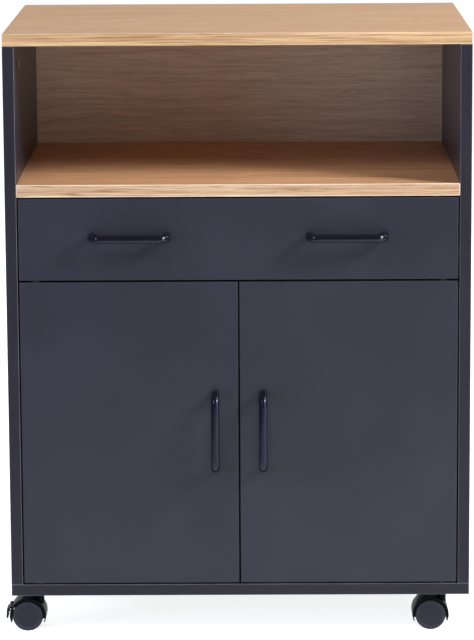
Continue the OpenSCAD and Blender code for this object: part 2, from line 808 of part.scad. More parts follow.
swivel_x = half_w - swivel_in_x;
front_swivel_y = front_y + swivel_in_y;
rear_swivel_y = back_y - swivel_in_y;
FRONT_LEFT = [-swivel_x, front_swivel_y];
FRONT_RIGHT = [swivel_x, front_swivel_y];
REAR_LEFT = [-swivel_x, rear_swivel_y];
REAR_RIGHT = [swivel_x, rear_swivel_y];
CASTERS = [FRONT_LEFT, FRONT_RIGHT, REAR_LEFT, REAR_RIGHT];

// the front casters trail to the left and the rear ones to the right
module at_caster(place) {
  translate([place[0], place[1], 0]) mirror([place[1] > 0 ? 1 : 0, 0, 0]) children();
}

module at_axle() {
  translate([-trail, 0, wheel_r]) children();
}

// stands a flat outline up in the XZ plane, with its width centred on the wheels
module upright(width) {
  rotate([90, 0, 0]) linear_extrude(width, center = true) children();
}

// the part of a flat ring between two angles, given by its corners far outside
module ring_piece(inner, outer, from, to) {
  far = 2 * outer;
  intersection() {
    ring(inner, outer);
    polygon([[0, 0], far * [cos(from), sin(from)], far * [cos(to), sin(to)]]);
  }
}

// the full hood, and a thin tip that hangs down from each of its ends
module hood_outline() {
  overlap = 3;
  difference() {
    ring(hood_in_r, hood_r);
    below(hood_end_angle);
  }
  for (side = [0, 1]) mirror([side, 0]) ring_piece(hood_r - hood_lip, hood_r - hood_step,
    -hood_tip_angle, overlap - hood_end_angle);
}

module web_outline() difference() {
  circle(r = hood_in_r + 0.5);
  translate([-hood_r, -2 * hood_r - web_low]) square(2 * hood_r);
}

// the swivel housing, cut away where the wheels turn
module swivel_boss() difference() {
  translate([0, 0, boss_low_z]) cylinder(r = boss_r, h = boss_top_z - boss_low_z);
  for (side = [-1, 1]) at_axle() translate([0, side * (web_t / 2 + hood_w / 2), 0])
    rotate([90, 0, 0]) cylinder(r = hood_in_r + 0.8, h = hood_w, center = true);
}

module slot_outline() {
  near = wheel_r - 1;
  far = 40;
  polygon([near * [cos(slot_from), sin(slot_from)], far * [cos(slot_from), sin(slot_from)],
    far * [cos(slot_to), sin(slot_to)], near * [cos(slot_to), sin(slot_to)]]);
}

module hood(braked) difference() {
  union() {
    at_axle() upright(hood_w) hood_outline();
    at_axle() upright(web_t) web_outline();
    swivel_boss();
    if (braked) for (side = [-1, 1]) at_axle()
      translate([lever_pivot[0], side * (lever_w + 2 * slot_play + lug_t) / 2, lever_pivot[1]])
        rotate([90, 0, 0]) cylinder(r = lug_r, h = lug_t, center = true);
  }
  at_axle() rotate([90, 0, 0]) cylinder(r = axle_r + 0.02, h = web_t + 2 * cut, center = true);
  translate([0, 0, swivel_pin_low_z - 0.5]) cylinder(r = swivel_bore_r, h = caster_h);
  if (braked) at_axle() {
    upright(lever_w + 2 * slot_play) slot_outline();
    translate([lever_pivot[0], 0, lever_pivot[1]]) rotate([90, 0, 0])
      cylinder(r = lever_pin_bore_r, h = hood_w, center = true);
  }
}

// the axle, and on a braked caster the pin of its lever
module axle(braked) at_axle() {
  rotate([90, 0, 0]) cylinder(r = axle_r, h = 2 * axle_half, center = true);
  if (braked) translate([lever_pivot[0], 0, lever_pivot[1]]) rotate([90, 0, 0])
    cylinder(r = lever_pin_r, h = lever_w + 2 * slot_play + 2 * lug_t, center = true);
}

// the brake lever: a barrel on its pin, a hooked finger tab and a toe over the treads
module lever() at_axle() difference() {
  union() {
    upright(lever_w) translate(lever_pivot) circle(r = lever_barrel_r);
    chain([lever_pivot, lever_pivot + toe_len * [cos(toe_angle), sin(toe_angle)]], toe_r, lever_w);
    chain([lever_pivot, lever_knee, lever_tip], lever_bar_r, lever_w);
  }
  upright(lever_w + 2 * cut) translate(lever_pivot) circle(r = lever_bore_r);
}

// a wheel with its inner face on the plane y = 0 and its closed outer face towards -Y
module wheel() rotate([90, 0, 0]) rotate_extrude() difference() {
  union() {
    square([wheel_r - wheel_edge, wheel_w]);
    translate([0, wheel_edge]) square([wheel_r, wheel_w - 2 * wheel_edge]);
    for (w = [wheel_edge, wheel_w - wheel_edge]) translate([wheel_r - wheel_edge, w])
      circle(r = wheel_edge);
  }
  translate([0, -cut]) square([wheel_bore_r, wheel_bore_d + cut]);
  translate([wheel_hub_r, -cut]) square([wheel_r - wheel_rim_t - wheel_hub_r, wheel_pocket + cut]);
  translate([0, wheel_w - wheel_dish]) square([wheel_dish_r, wheel_dish + cut]);
}

module near_wheel() at_axle() translate([0, -web_t / 2 - web_gap, 0]) wheel();

module far_wheel() mirror([0, 1, 0]) near_wheel();

module caster_plates() color(gloss_black) for (c = CASTERS) translate([c[0], c[1], 0]) {
  difference() {
    translate([0, 0, caster_h - plate_t / 2]) cube([plate_side, plate_side, plate_t], center = true);
    for (sx = [-1, 1], sy = [-1, 1])
      rod(sx * plate_hole, sy * plate_hole, caster_h - plate_t - cut, caster_h + cut, screw_bore_r);
  }
  translate([0, 0, swivel_pin_low_z]) cylinder(r = swivel_pin_r, h = caster_h - plate_t - swivel_pin_low_z);
}

module front_left_hood() color(gloss_black) at_caster(FRONT_LEFT) hood(true);
module front_left_axle() color(zinc) at_caster(FRONT_LEFT) axle(true);
module front_left_lever() color(nylon_black) at_caster(FRONT_LEFT) lever();
module front_left_near_wheel() color(nylon_black) at_caster(FRONT_LEFT) near_wheel();
module front_left_far_wheel() color(nylon_black) at_caster(FRONT_LEFT) far_wheel();

module front_right_hood() color(gloss_black) at_caster(FRONT_RIGHT) hood(false);
module front_right_axle() color(zinc) at_caster(FRONT_RIGHT) axle(false);
module front_right_near_wheel() color(nylon_black) at_caster(FRONT_RIGHT) near_wheel();
module front_right_far_wheel() color(nylon_black) at_caster(FRONT_RIGHT) far_wheel();

module rear_left_hood() color(gloss_black) at_caster(REAR_LEFT) hood(false);
module rear_left_axle() color(zinc) at_caster(REAR_LEFT) axle(false);
module rear_left_near_wheel() color(nylon_black) at_caster(REAR_LEFT) near_wheel();
module rear_left_far_wheel() color(nylon_black) at_caster(REAR_LEFT) far_wheel();

module rear_right_hood() color(gloss_black) at_caster(REAR_RIGHT) hood(true);
module rear_right_axle() color(zinc) at_caster(REAR_RIGHT) axle(true);
module rear_right_lever() color(nylon_black) at_caster(REAR_RIGHT) lever();
module rear_right_near_wheel() color(nylon_black) at_caster(REAR_RIGHT) near_wheel();
module rear_right_far_wheel() color(nylon_black) at_caster(REAR_RIGHT) far_wheel();

top_board();
left_side_panel();
right_side_panel();
bottom_panel();
fixed_shelf();
divider_panel();
loose_shelf();
niche_back_panel();
lower_back_panel();
shelf_pins();
cam_locks();
cam_bolts();
dowels();
left_cabinet_runner();
right_cabinet_runner();
cabinet_screws();
pivot_plates();
magnetic_catches();
caster_plates();
left_front_roller();
right_front_roller();
drawer_front();
left_drawer_side();
right_drawer_side();
drawer_back();
drawer_bottom();
drawer_handles();
left_drawer_runner();
right_drawer_runner();
drawer_cams();
drawer_screws();
left_rear_roller();
right_rear_roller();
left_door();
right_door();
left_door_handle();
right_door_handle();
left_door_bushes();
right_door_bushes();
left_door_fittings();
right_door_fittings();
front_left_hood();
front_left_axle();
front_left_lever();
front_left_near_wheel();
front_left_far_wheel();
front_right_hood();
front_right_axle();
front_right_near_wheel();
front_right_far_wheel();
rear_left_hood();
rear_left_axle();
rear_left_near_wheel();
rear_left_far_wheel();
rear_right_hood();
rear_right_axle();
rear_right_lever();
rear_right_near_wheel();
rear_right_far_wheel();
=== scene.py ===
"""Looks of a microwave cart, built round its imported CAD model.

The cart is a low cabinet on twin-wheel casters: an open oak niche, a drawer on roller runners and
a cupboard with two doors. Every object is in metres, in the frame of the CAD model: X runs to the
right, -Y is the front and Z is up.
"""

import json
import logging
import math
import random
from dataclasses import dataclass
from enum import Enum

import bmesh
import bpy
from mathutils import Matrix, Vector


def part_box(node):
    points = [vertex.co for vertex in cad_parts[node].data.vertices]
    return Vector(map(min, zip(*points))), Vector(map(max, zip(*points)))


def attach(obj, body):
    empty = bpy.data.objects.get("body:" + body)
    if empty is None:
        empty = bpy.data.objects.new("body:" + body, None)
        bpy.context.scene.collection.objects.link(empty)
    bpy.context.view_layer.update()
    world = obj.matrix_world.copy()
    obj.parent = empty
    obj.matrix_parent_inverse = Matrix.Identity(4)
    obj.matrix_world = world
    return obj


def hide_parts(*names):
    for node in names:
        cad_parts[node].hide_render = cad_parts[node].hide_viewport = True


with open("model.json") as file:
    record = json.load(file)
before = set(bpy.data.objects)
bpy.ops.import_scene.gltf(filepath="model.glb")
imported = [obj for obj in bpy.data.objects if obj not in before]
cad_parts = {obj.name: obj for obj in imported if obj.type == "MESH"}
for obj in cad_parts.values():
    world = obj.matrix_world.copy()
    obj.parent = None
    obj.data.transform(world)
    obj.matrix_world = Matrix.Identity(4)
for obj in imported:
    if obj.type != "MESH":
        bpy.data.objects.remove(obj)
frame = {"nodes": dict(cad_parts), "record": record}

log = logging.getLogger("microwave_cart")

MM = 0.001
NEAR = 1e-6  # metres: mesh points nearer than this are one
ON_PLANE = 1e-5  # metres: a place nearer a plane than this lies on it
QUARTER_ROUND = 0.5  # a bevel's profile
FULL = 255  # the highest value of a display colour
SRGB_KNEE, SRGB_SLOPE, SRGB_LIFT, SRGB_POWER = 0.04045, 12.92, 0.055, 2.4
MIDDLE = 0.5  # of a value that runs from 0 to 1
WHITE = (1.0, 1.0, 1.0, 1.0)
GRAIN = "grain"
RIM = "rim"
HEIGHT = "height"

Pair = tuple[float, float]
Triple = tuple[float, float, float]
Colour = Triple
Socket = bpy.types.NodeSocket
Skin = tuple[Socket, Socket, Socket]  # colour, roughness and height of the bump


def linear(red: float, green: float, blue: float) -> tuple[float, float, float, float]:
    """Turns a display colour into the renderer's linear colour.

    Args:
        red: red, from 0 to 255.
        green: green, from 0 to 255.
        blue: blue, from 0 to 255.

    Returns:
        The linear colour with an alpha of 1.
    """
    parts = [c / FULL for c in (red, green, blue)]
    made = [
        c / SRGB_SLOPE if c <= SRGB_KNEE else ((c + SRGB_LIFT) / (1 + SRGB_LIFT)) ** SRGB_POWER
        for c in parts
    ]
    return (made[0], made[1], made[2], 1.0)


# ---- shader nodes ----


class Graph:
    """Places nodes in one tree and links them."""

    def __init__(self, tree: bpy.types.NodeTree) -> None:
        """Works in this tree."""
        self.tree = tree

    def feed(self, socket: Socket, value: object) -> None:
        """Links a socket to another one, or sets its value.

        Args:
            socket: the input to feed.
            value: an output socket, a plain value, or None to leave the input alone.
        """
        if isinstance(value, Socket):
            self.tree.links.new(value, socket)
        elif value is not None:
            socket.default_value = value

    def add(self, kind: str, inputs: dict | None = None, **settings: object) -> bpy.types.Node:
        """Adds a node.

        Args:
            kind: the node's type, without its usual first word.
            inputs: values or sockets for its inputs, by name or number.
            settings: the node's own properties.

        Returns:
            The new node.
        """
        node = self.tree.nodes.new("ShaderNode" + kind)
        for name, value in settings.items():
            setattr(node, name, value)
        for name, value in (inputs or {}).items():
            self.feed(node.inputs[name], value)
        return node

    def math(self, operation: str, a: object, b: object = None, clamp: bool = False) -> Socket:
        """The result of one sum of two values."""
        node = self.add("Math", {0: a, 1: b}, operation=operation, use_clamp=clamp)
        return node.outputs[0]

    def stretch(self, vector: object, scale: object) -> Socket:
        """A vector multiplied part by part."""
        node = self.add("VectorMath", {0: vector, 1: scale}, operation="MULTIPLY")
        return node.outputs[0]

    def shift(self, vector: object, by: object) -> Socket:
        """The sum of two vectors."""
        return self.add("VectorMath", {0: vector, 1: by}, operation="ADD").outputs[0]

    def join(self, x: object = 0.0, y: object = 0.0, z: object = 0.0) -> Socket:
        """A vector of three values."""
        return self.add("CombineXYZ", {"X": x, "Y": y, "Z": z}).outputs[0]

    def noise(self, vector: object, scale: object, detail: float, rough: float) -> Socket:
        """Fractal noise from 0 to 1 at a place."""
        values = {"Vector": vector, "Scale": scale, "Detail": detail, "Roughness": rough}
        return self.add("TexNoise", values).outputs["Fac"]

    def cell(self, vector: object, scale: object) -> Socket:
        """A random value from 0 to 1 for the cell that a place lies in."""
        cells = self.add("TexVoronoi", {"Vector": vector, "Scale": scale}).outputs["Color"]
        return self.add("SeparateColor", {0: cells}).outputs[0]

    def ramp(self, value: object, used: Pair, gives: Pair = (0.0, 1.0)) -> Socket:
        """A value stretched from one range to another, and held there."""
        sums = {0: value, 1: used[0], 2: used[1], 3: gives[0], 4: gives[1]}
        return self.add("MapRange", sums, clamp=True).outputs[0]

    def blend(self, factor: object, a: object, b: object, mode: str = "MIX") -> Socket:
        """One colour mixed into another."""
        node = self.add("Mix", {0: factor, 6: a, 7: b}, data_type="RGBA", blend_type=mode)
        return node.outputs[2]


@dataclass(frozen=True)
class Layer:
    """A layer of noise: its cells per metre, its detail, and the range of it that counts.

    The shape, where there is one, first multiplies the coordinates part by part.
    """

    scale: float = 1.0
    detail: float = 3.0
    rough: float = 0.55
    shape: Triple | None = None
    used: Pair = (0.3, 0.7)
    gives: Pair = (0.0, 1.0)

    def noise(self, graph: Graph, place: object, scale: object = None) -> Socket:
        """The plain noise.

        Args:
            graph: the graph to add it to.
            place: the coordinates.
            scale: a socket that stands for the layer's own scale.

        Returns:
            The noise, from 0 to 1.
        """
        at = graph.stretch(place, self.shape) if self.shape else place
        fine = self.scale if scale is None else scale
        return graph.noise(at, fine, self.detail, self.rough)

    def spread(self, graph: Graph, noise: object) -> Socket:
        """The noise's used range, stretched to what the layer gives."""
        return graph.ramp(noise, self.used, self.gives)

    def draw(self, graph: Graph, place: object) -> Socket:
        """The noise at a place, stretched to what the layer gives."""
        return self.spread(graph, self.noise(graph, place))


class Effect:
    """A shader node group that several finishes share."""

    name = "effect"
    inputs: tuple[tuple[str, str, object], ...] = ()
    outputs: tuple[tuple[str, str], ...] = ()

    @classmethod
    def tree(cls) -> bpy.types.NodeTree:
        """Builds the group's node tree, once.

        Returns:
            The tree.
        """
        found = bpy.data.node_groups.get(cls.name)
        if found:
            return found
        tree = bpy.data.node_groups.new(cls.name, "ShaderNodeTree")
        for name, kind, value in cls.inputs:
            kind = "NodeSocket" + kind
            socket = tree.interface.new_socket(name, in_out="INPUT", socket_type=kind)
            if value is not None:
                socket.default_value = value
        for name, kind in cls.outputs:
            tree.interface.new_socket(name, in_out="OUTPUT", socket_type="NodeSocket" + kind)
        graph = Graph(tree)
        given = tree.nodes.new("NodeGroupInput").outputs
        out = tree.nodes.new("NodeGroupOutput").inputs
        for name, value in cls.draw(graph, given).items():
            graph.feed(out[name], value)
        return tree

    @classmethod
    def draw(cls, graph: Graph, given: bpy.types.NodeOutputs) -> dict[str, Socket]:
        """Builds the effect.

        Args:
            graph: the group's graph.
            given: the group's inputs.

        Returns:
            The group's outputs by name.
        """
        raise NotImplementedError

    @classmethod
    def place(cls, graph: Graph, **values: object) -> bpy.types.NodeOutputs:
        """Puts the group into a material.

        Args:
            graph: the material's graph.
            values: the group's inputs by name.

        Returns:
            The group node's outputs.
        """
        node = graph.tree.nodes.new("ShaderNodeGroup")
        node.node_tree = cls.tree()
        for name, value in values.items():
            graph.feed(node.inputs[name], value)
        return node.outputs


class OakGrain(Effect):
    """Printed oak: wavy bands, thin growth lines, fine fibres and short pores along the grain."""

    name = "oak_grain"
    inputs = (
        ("Grain", "Vector", None),
        ("Pale", "Color", (0.8, 0.6, 0.4, 1)),
        ("Dark", "Color", (0.5, 0.35, 0.2, 1)),
        ("Contrast", "Float", 1.0),
        ("Along", "Float", 2.2),
        ("Across", "Float", 75.0),
        ("Lines", "Float", 0.3),
        ("Sway", "Float", 0.022),
    )
    outputs = (("Color", "Color"), ("Height", "Float"), ("Pores", "Float"))
    bend = Layer(detail=2.0, shape=(5.0, 9.0, 1.0))
    bands = Layer(rough=0.6, used=(0.36, 0.68), gives=(0.0, 0.46))
    growth = Layer(detail=1.5, rough=0.5, shape=(1.6, 1.25, 1.0))
    growth_lines = 7.0
    line_used, line_gives = (0.03, 0.26), (1.0, 0.0)
    fibres = Layer(1.0, 4.0, 0.62, (14.0, 620.0, 1.0), (0.40, 0.66), (0.0, 0.36))
    fibre_height = 0.4
    pores = Layer(1.0, 1.0, 0.5, (62.0, 1500.0, 1.0), (0.60, 0.72))
    pore_depth = 0.30
    stain, stain_share = (0.02, 0.01, 0.0, 1), 0.55
    clouds = Layer(detail=2.0, shape=(3.0, 6.0, 1.0), gives=(-0.10, 0.10))

    @classmethod
    def draw(cls, graph: Graph, given: bpy.types.NodeOutputs) -> dict[str, Socket]:
        """Bends the coordinates, then adds bands, growth lines, fibres, clouds and pores.

        Args:
            graph: the group's graph.
            given: the group's inputs.

        Returns:
            The colour, the height of the grain, and where its pores are.
        """
        grain = given["Grain"]
        sway = graph.math("SUBTRACT", cls.bend.noise(graph, grain), MIDDLE)
        sway = graph.math("MULTIPLY", sway, given["Sway"])
        bent = graph.shift(grain, graph.join(y=sway))
        wide = graph.stretch(bent, graph.join(given["Along"], given["Across"], 1.0))
        ring = graph.math("MULTIPLY", cls.growth.noise(graph, wide), cls.growth_lines)
        ridge = graph.math("SUBTRACT", graph.math("FRACT", ring), MIDDLE)
        ridge = graph.math("ABSOLUTE", ridge)
        lines = graph.ramp(ridge, cls.line_used, cls.line_gives)
        lines = graph.math("MULTIPLY", lines, given["Lines"])
        fibres = cls.fibres.noise(graph, bent)
        pores = cls.pores.draw(graph, bent)
        tone = cls.bands.draw(graph, wide)
        tone = graph.math("ADD", tone, cls.fibres.spread(graph, fibres))
        tone = graph.math("ADD", tone, cls.clouds.draw(graph, grain))
        tone = graph.math("ADD", tone, lines)
        tone = graph.math("MULTIPLY", tone, given["Contrast"], clamp=True)
        colour = graph.blend(tone, given["Pale"], given["Dark"])
        stain = graph.blend(cls.stain_share, given["Dark"], cls.stain)
        colour = graph.blend(graph.math("MULTIPLY", pores, cls.pore_depth), colour, stain)
        height = graph.math("SUBTRACT", graph.math("MULTIPLY", fibres, cls.fibre_height), pores)
        return {"Color": colour, "Height": height, "Pores": pores}


class Pebble(Effect):
    """The fine pressed texture of melamine, lacquer or moulded plastic."""

    name = "pebble"
    inputs = (("Place", "Vector", None), ("Size", "Float", 0.001))
    outputs = (("Height", "Float"), ("Tone", "Float"))
    dimples = Layer(detail=2.0, rough=0.5)
    slow = Layer(7.0, rough=0.5)

    @classmethod
    def draw(cls, graph: Graph, given: bpy.types.NodeOutputs) -> dict[str, Socket]:
        """Fine dimples, and slow changes of tone.

        Args:
            graph: the group's graph.
            given: the group's inputs.

        Returns:
            The height of the dimples, and the tone.
        """
        place = given["Place"]
        dimples = cls.dimples.noise(graph, place, graph.math("DIVIDE", 1.0, given["Size"]))
        return {"Height": cls.dimples.spread(graph, dimples), "Tone": cls.slow.draw(graph, place)}


class Handling(Effect):
    """Dull patches of dust and touch that change a surface's gloss."""

    name = "handling"
    inputs = (("Place", "Vector", None), ("Gloss", "Float", 0.4), ("Spread", "Float", 0.1))
    outputs = (("Roughness", "Float"),)
    patches = Layer(11.0, 5.0, 0.6, gives=(-0.7, 0.7))
    specks = Layer(160.0, 2.0, 0.5, used=(0.35, 0.65), gives=(-0.3, 0.3))

    @classmethod
    def draw(cls, graph: Graph, given: bpy.types.NodeOutputs) -> dict[str, Socket]:
        """Roughness round a middle value.

        Args:
            graph: the group's graph.
            given: the group's inputs.

        Returns:
            The roughness.
        """
        place = given["Place"]
        mask = graph.math("ADD", cls.patches.draw(graph, place), cls.specks.draw(graph, place))
        change = graph.math("MULTIPLY", mask, given["Spread"])
        return {"Roughness": graph.math("ADD", given["Gloss"], change, clamp=True)}


class EdgeLine(Effect):
    """A pale line along a rounded edge: partly rubbed wear, partly a painted highlight on the rim.
    """

    name = "edge_line"
    inputs = (
        ("Rim", "Float", 0.0),
        ("Place", "Vector", None),
        ("Color", "Color", (0.1, 0.1, 0.1, 1)),
        ("Line", "Color", (0.3, 0.3, 0.3, 1)),
        ("Amount", "Float", 0.5),
    )
    outputs = (("Color", "Color"),)
    rubbing_and_highlight = Layer(38.0, 4.0, 0.6, used=(0.32, 0.62), gives=(0.55, 1.0))

    @classmethod
    def draw(cls, graph: Graph, given: bpy.types.NodeOutputs) -> dict[str, Socket]:
        """Mixes the line's colour in where the edge is rounded.

        Args:
            graph: the group's graph.
            given: the group's inputs.

        Returns:
            The colour with its line.
        """
        # mask of the pale edge line: partly wear, partly a painted highlight on the rim
        mask = graph.math("MULTIPLY", given["Rim"], cls.rubbing_and_highlight.draw(graph, given["Place"]))
        mask = graph.math("MULTIPLY", mask, given["Amount"])
        return {"Color": graph.blend(mask, given["Color"], given["Line"])}


class DrawnMetal(Effect):
    """Plated or rolled metal: fine streaks one way, and the crystals of the zinc."""

    name = "drawn_metal"
    inputs = (
        ("Place", "Vector", None),
        ("Color", "Color", (0.6, 0.6, 0.6, 1)),
        ("Gloss", "Float", 0.3),
    )
    outputs = (("Color", "Color"), ("Roughness", "Float"), ("Height", "Float"))
    streaks = Layer(shape=(900.0, 24.0, 900.0), gives=(0.86, 1.0))
    crystals = 170.0
    crystal_tone = 0.07
    crystal_gloss = (-0.06, 0.10)

    @classmethod
    def draw(cls, graph: Graph, given: bpy.types.NodeOutputs) -> dict[str, Socket]:
        """Streaks along Y over a pattern of crystals.

        Args:
            graph: the group's graph.
            given: the group's inputs.

        Returns:
            The colour, the roughness and the height of the streaks.
        """
        streaks = cls.streaks.noise(graph, given["Place"])
        crystal = graph.cell(given["Place"], cls.crystals)
        shade = graph.math("MULTIPLY", crystal, cls.crystal_tone)
        shade = graph.math("ADD", cls.streaks.spread(graph, streaks), shade)
        grey = graph.add("CombineColor", {0: shade, 1: shade, 2: shade}).outputs[0]
        change = graph.ramp(crystal, (0.0, 1.0), cls.crystal_gloss)
        return {
            "Color": graph.blend(1.0, given["Color"], grey, "MULTIPLY"),
            "Roughness": graph.math("ADD", given["Gloss"], change, clamp=True),
            "Height": streaks,
        }


class Fibres(Effect):
    """Pressed wood: chips or fibres of several browns."""

    name = "fibres"
    inputs = (
        ("Place", "Vector", None),
        ("Size", "Float", 0.002),
        ("Pale", "Color", (0.5, 0.4, 0.3, 1)),
        ("Dark", "Color", (0.3, 0.2, 0.1, 1)),
    )
    outputs = (("Color", "Color"), ("Height", "Float"))
    fine = Layer(900.0, 2.0)
    fine_share = 0.4
    chip_share = 0.6

    @classmethod
    def draw(cls, graph: Graph, given: bpy.types.NodeOutputs) -> dict[str, Socket]:
        """Chips of mixed tone over fine noise.

        Args:
            graph: the group's graph.
            given: the group's inputs.

        Returns:
            The colour, and the height of the chips.
        """
        chip = graph.cell(given["Place"], graph.math("DIVIDE", 1.0, given["Size"]))
        chip = graph.math("MULTIPLY", chip, cls.chip_share)
        fine = graph.math("MULTIPLY", cls.fine.noise(graph, given["Place"]), cls.fine_share)
        tone = graph.math("ADD", chip, fine, clamp=True)
        return {"Color": graph.blend(tone, given["Pale"], given["Dark"]), "Height": tone}


# ---- finishes ----


@dataclass(frozen=True)
class Finish:
    """One surface finish, made once as a material. Its bump has a depth in metres."""

    name: str
    colour: Colour
    roughness: float = 0.4
    spread: float = 0.05
    bump: float = 0.1
    depth: float = 0.1 * MM
    specular: float = 0.3

    def material(self) -> bpy.types.Material:
        """Makes the material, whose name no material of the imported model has.

        Returns:
            The material.
        """
        title = self.name + "_finish"
        made = bpy.data.materials.get(title)
        if made:
            return made
        made = bpy.data.materials.new(title)
        made.use_nodes = True
        made.diffuse_color = linear(*self.colour)
        made.node_tree.nodes.clear()
        graph = Graph(made.node_tree)
        shader = graph.add("BsdfPrincipled")
        out = graph.add("OutputMaterial")
        graph.feed(out.inputs["Surface"], shader.outputs[0])
        shader.inputs["Specular IOR Level"].default_value = self.specular
        colour, rough, height = self.dress(graph, shader.inputs)
        values = {"Strength": self.bump, "Distance": self.depth, "Height": height}
        graph.feed(shader.inputs["Base Color"], colour)
        graph.feed(shader.inputs["Roughness"], rough)
        graph.feed(shader.inputs["Normal"], graph.add("Bump", values).outputs[0])
        return made

    def dress(self, graph: Graph, shader: bpy.types.NodeInputs) -> Skin:
        """Draws what changes over the surface: each kind of finish has its own way.

        Args:
            graph: the material's graph.
            shader: the inputs of its shader, for what is the same all over.

        Returns:
            The colour, the roughness and the height of the bump.
        """
        raise NotImplementedError

    def place(self, graph: Graph) -> Socket:
        """Coordinates that stay with the piece, in metres."""
        return graph.add("TexCoord").outputs["Object"]

    def marked(self, graph: Graph, mark: str) -> Socket:
        """The value of a mark on the mesh, such as 1 on rounded edges and 0 on faces."""
        return graph.add("Attribute", attribute_name=mark).outputs["Fac"]

    def worn(self, graph: Graph) -> Socket:
        """The finish's roughness, with its dull patches."""
        values = {"Place": self.place(graph), "Gloss": self.roughness, "Spread": self.spread}
        return Handling.place(graph, **values)["Roughness"]


@dataclass(frozen=True)
class Edged(Finish):
    """A finish with a line of another tone on its rounded edges: wear and a painted highlight."""

    line: Colour = (120, 118, 130)
    line_amount: float = 0.35

    def edged(self, graph: Graph, colour: object, rim: object = None) -> Socket:
        """Lays the line over a colour.

        Args:
            graph: the material's graph.
            colour: the colour of the faces.
            rim: 1 where the line lies and 0 elsewhere, if not as the mesh is marked.

        Returns:
            The colour with its line.
        """
        # the line is partly wear, partly a painted highlight on the rims
        values = {
            "Rim": self.marked(graph, RIM) if rim is None else rim,
            "Place": self.place(graph),
            "Color": colour,
            "Line": linear(*self.line),
            "Amount": self.line_amount,
        }
        return EdgeLine.place(graph, **values)["Color"]

    def toned(self, share: float) -> tuple[float, float, float, float]:
        """The finish's own colour made darker or paler by a share."""
        return linear(*[min(FULL, c * share) for c in self.colour])


@dataclass(frozen=True)
class OakPrint(Edged):
    """Oak print on a board, its back panel or its edge band.

    A painted highlight lies as a pale line low on a board's edge. It fades out between two shares
    of the board's thickness.
    """

    line: Colour = (240, 215, 185)
    line_amount: float = 0.55
    dark: Colour = (150, 110, 70)
    contrast: float = 1.0
    along: float = 2.2
    across: float = 75.0
    lines: float = 0.3
    sway: float = 0.022
    low_highlight: float = 0.0
    low_highlight_height: Pair = (0.05, 0.11)
    pore_dullness: float = 0.12

    def dress(self, graph: Graph, shader: bpy.types.NodeInputs) -> Skin:
        """Oak grain with a pale line at the edges, a painted highlight on the lower rim, and dull
        pores.

        Args:
            graph: the material's graph.
            shader: the inputs of its shader.

        Returns:
            The colour, the roughness and the height of the bump.
        """
        values = {
            "Grain": graph.add("Attribute", attribute_name=GRAIN).outputs["Vector"],
            "Pale": linear(*self.colour),
            "Dark": linear(*self.dark),
            "Contrast": self.contrast,
            "Along": self.along,
            "Across": self.across,
            "Lines": self.lines,
            "Sway": self.sway,
        }
        grain = OakGrain.place(graph, **values)
        # painted highlight: a pale line along the lower rim of the edge band
        low_highlight = graph.ramp(self.marked(graph, HEIGHT), self.low_highlight_height, (1.0, 0.0))
        low_highlight = graph.math("MULTIPLY", low_highlight, self.low_highlight)
        rim = graph.math("MAXIMUM", self.marked(graph, RIM), low_highlight)
        pores = graph.math("MULTIPLY", grain["Pores"], self.pore_dullness)
        rough = graph.math("ADD", self.worn(graph), pores, clamp=True)
        return self.edged(graph, grain["Color"], rim), rough, grain["Height"]


@dataclass(frozen=True)
class Melamine(Edged):
    """Plain coloured melamine with a fine pressed texture."""

    tone: float = 0.06
    pebble: float = 0.9 * MM

    def dress(self, graph: Graph, shader: bpy.types.NodeInputs) -> Skin:
        """A nearly even colour with a pale line at the edges: wear and a painted highlight.

        Args:
            graph: the material's graph.
            shader: the inputs of its shader.

        Returns:
            The colour, the roughness and the height of the bump.
        """
        skin = Pebble.place(graph, Place=self.place(graph), Size=self.pebble)
        colour = graph.blend(skin["Tone"], self.toned(1 - self.tone), self.toned(1 + self.tone))
        return self.edged(graph, colour), self.worn(graph), skin["Height"]


@dataclass(frozen=True)
class Plastic(Edged):
    """Moulded nylon, lacquer or paint, from glossy to matt."""

    line: Colour = (120, 120, 124)
    line_amount: float = 0.2
    tone: float = 0.1
    pebble: float = 0.8 * MM
    coat: float = 0.0
    coat_roughness: float = 0.08
    tint: Colour = (255, 255, 255)

    def dress(self, graph: Graph, shader: bpy.types.NodeInputs) -> Skin:
        """A moulded skin, with a clear coat on the lacquer.

        Args:
            graph: the material's graph.
            shader: the inputs of its shader.

        Returns:
            The colour, the roughness and the height of the bump.
        """
        skin = Pebble.place(graph, Place=self.place(graph), Size=self.pebble)
        colour = graph.blend(skin["Tone"], self.toned(1 - self.tone), self.toned(1.0))
        shader["Coat Weight"].default_value = self.coat
        shader["Coat Roughness"].default_value = self.coat_roughness
        shader["Specular Tint"].default_value = linear(*self.tint)
        return self.edged(graph, colour), self.worn(graph), skin["Height"]


@dataclass(frozen=True)
class Plated(Finish):
    """Bright zinc plating or galvanised sheet."""

    def dress(self, graph: Graph, shader: bpy.types.NodeInputs) -> Skin:
        """Metal with streaks and crystals.

        Args:
            graph: the material's graph.
            shader: the inputs of its shader.

        Returns:
            The colour, the roughness and the height of the bump.
        """
        values = {"Place": self.place(graph), "Color": linear(*self.colour)}
        metal = DrawnMetal.place(graph, **values, Gloss=self.roughness)
        shader["Metallic"].default_value = 1.0
        return metal["Color"], metal["Roughness"], metal["Height"]


@dataclass(frozen=True)
class PressedWood(Finish):
    """Raw particle board or hardboard."""

    dark: Colour = (110, 80, 50)
    chip: float = 2.0 * MM

    def dress(self, graph: Graph, shader: bpy.types.NodeInputs) -> Skin:
        """Chips or fibres, quite matt.

        Args:
            graph: the material's graph.
            shader: the inputs of its shader.

        Returns:
            The colour, the roughness and the height of the bump.
        """
        tones = {"Pale": linear(*self.colour), "Dark": linear(*self.dark)}
        wood = Fibres.place(graph, Place=self.place(graph), Size=self.chip, **tones)
        return wood["Color"], self.worn(graph), wood["Height"]


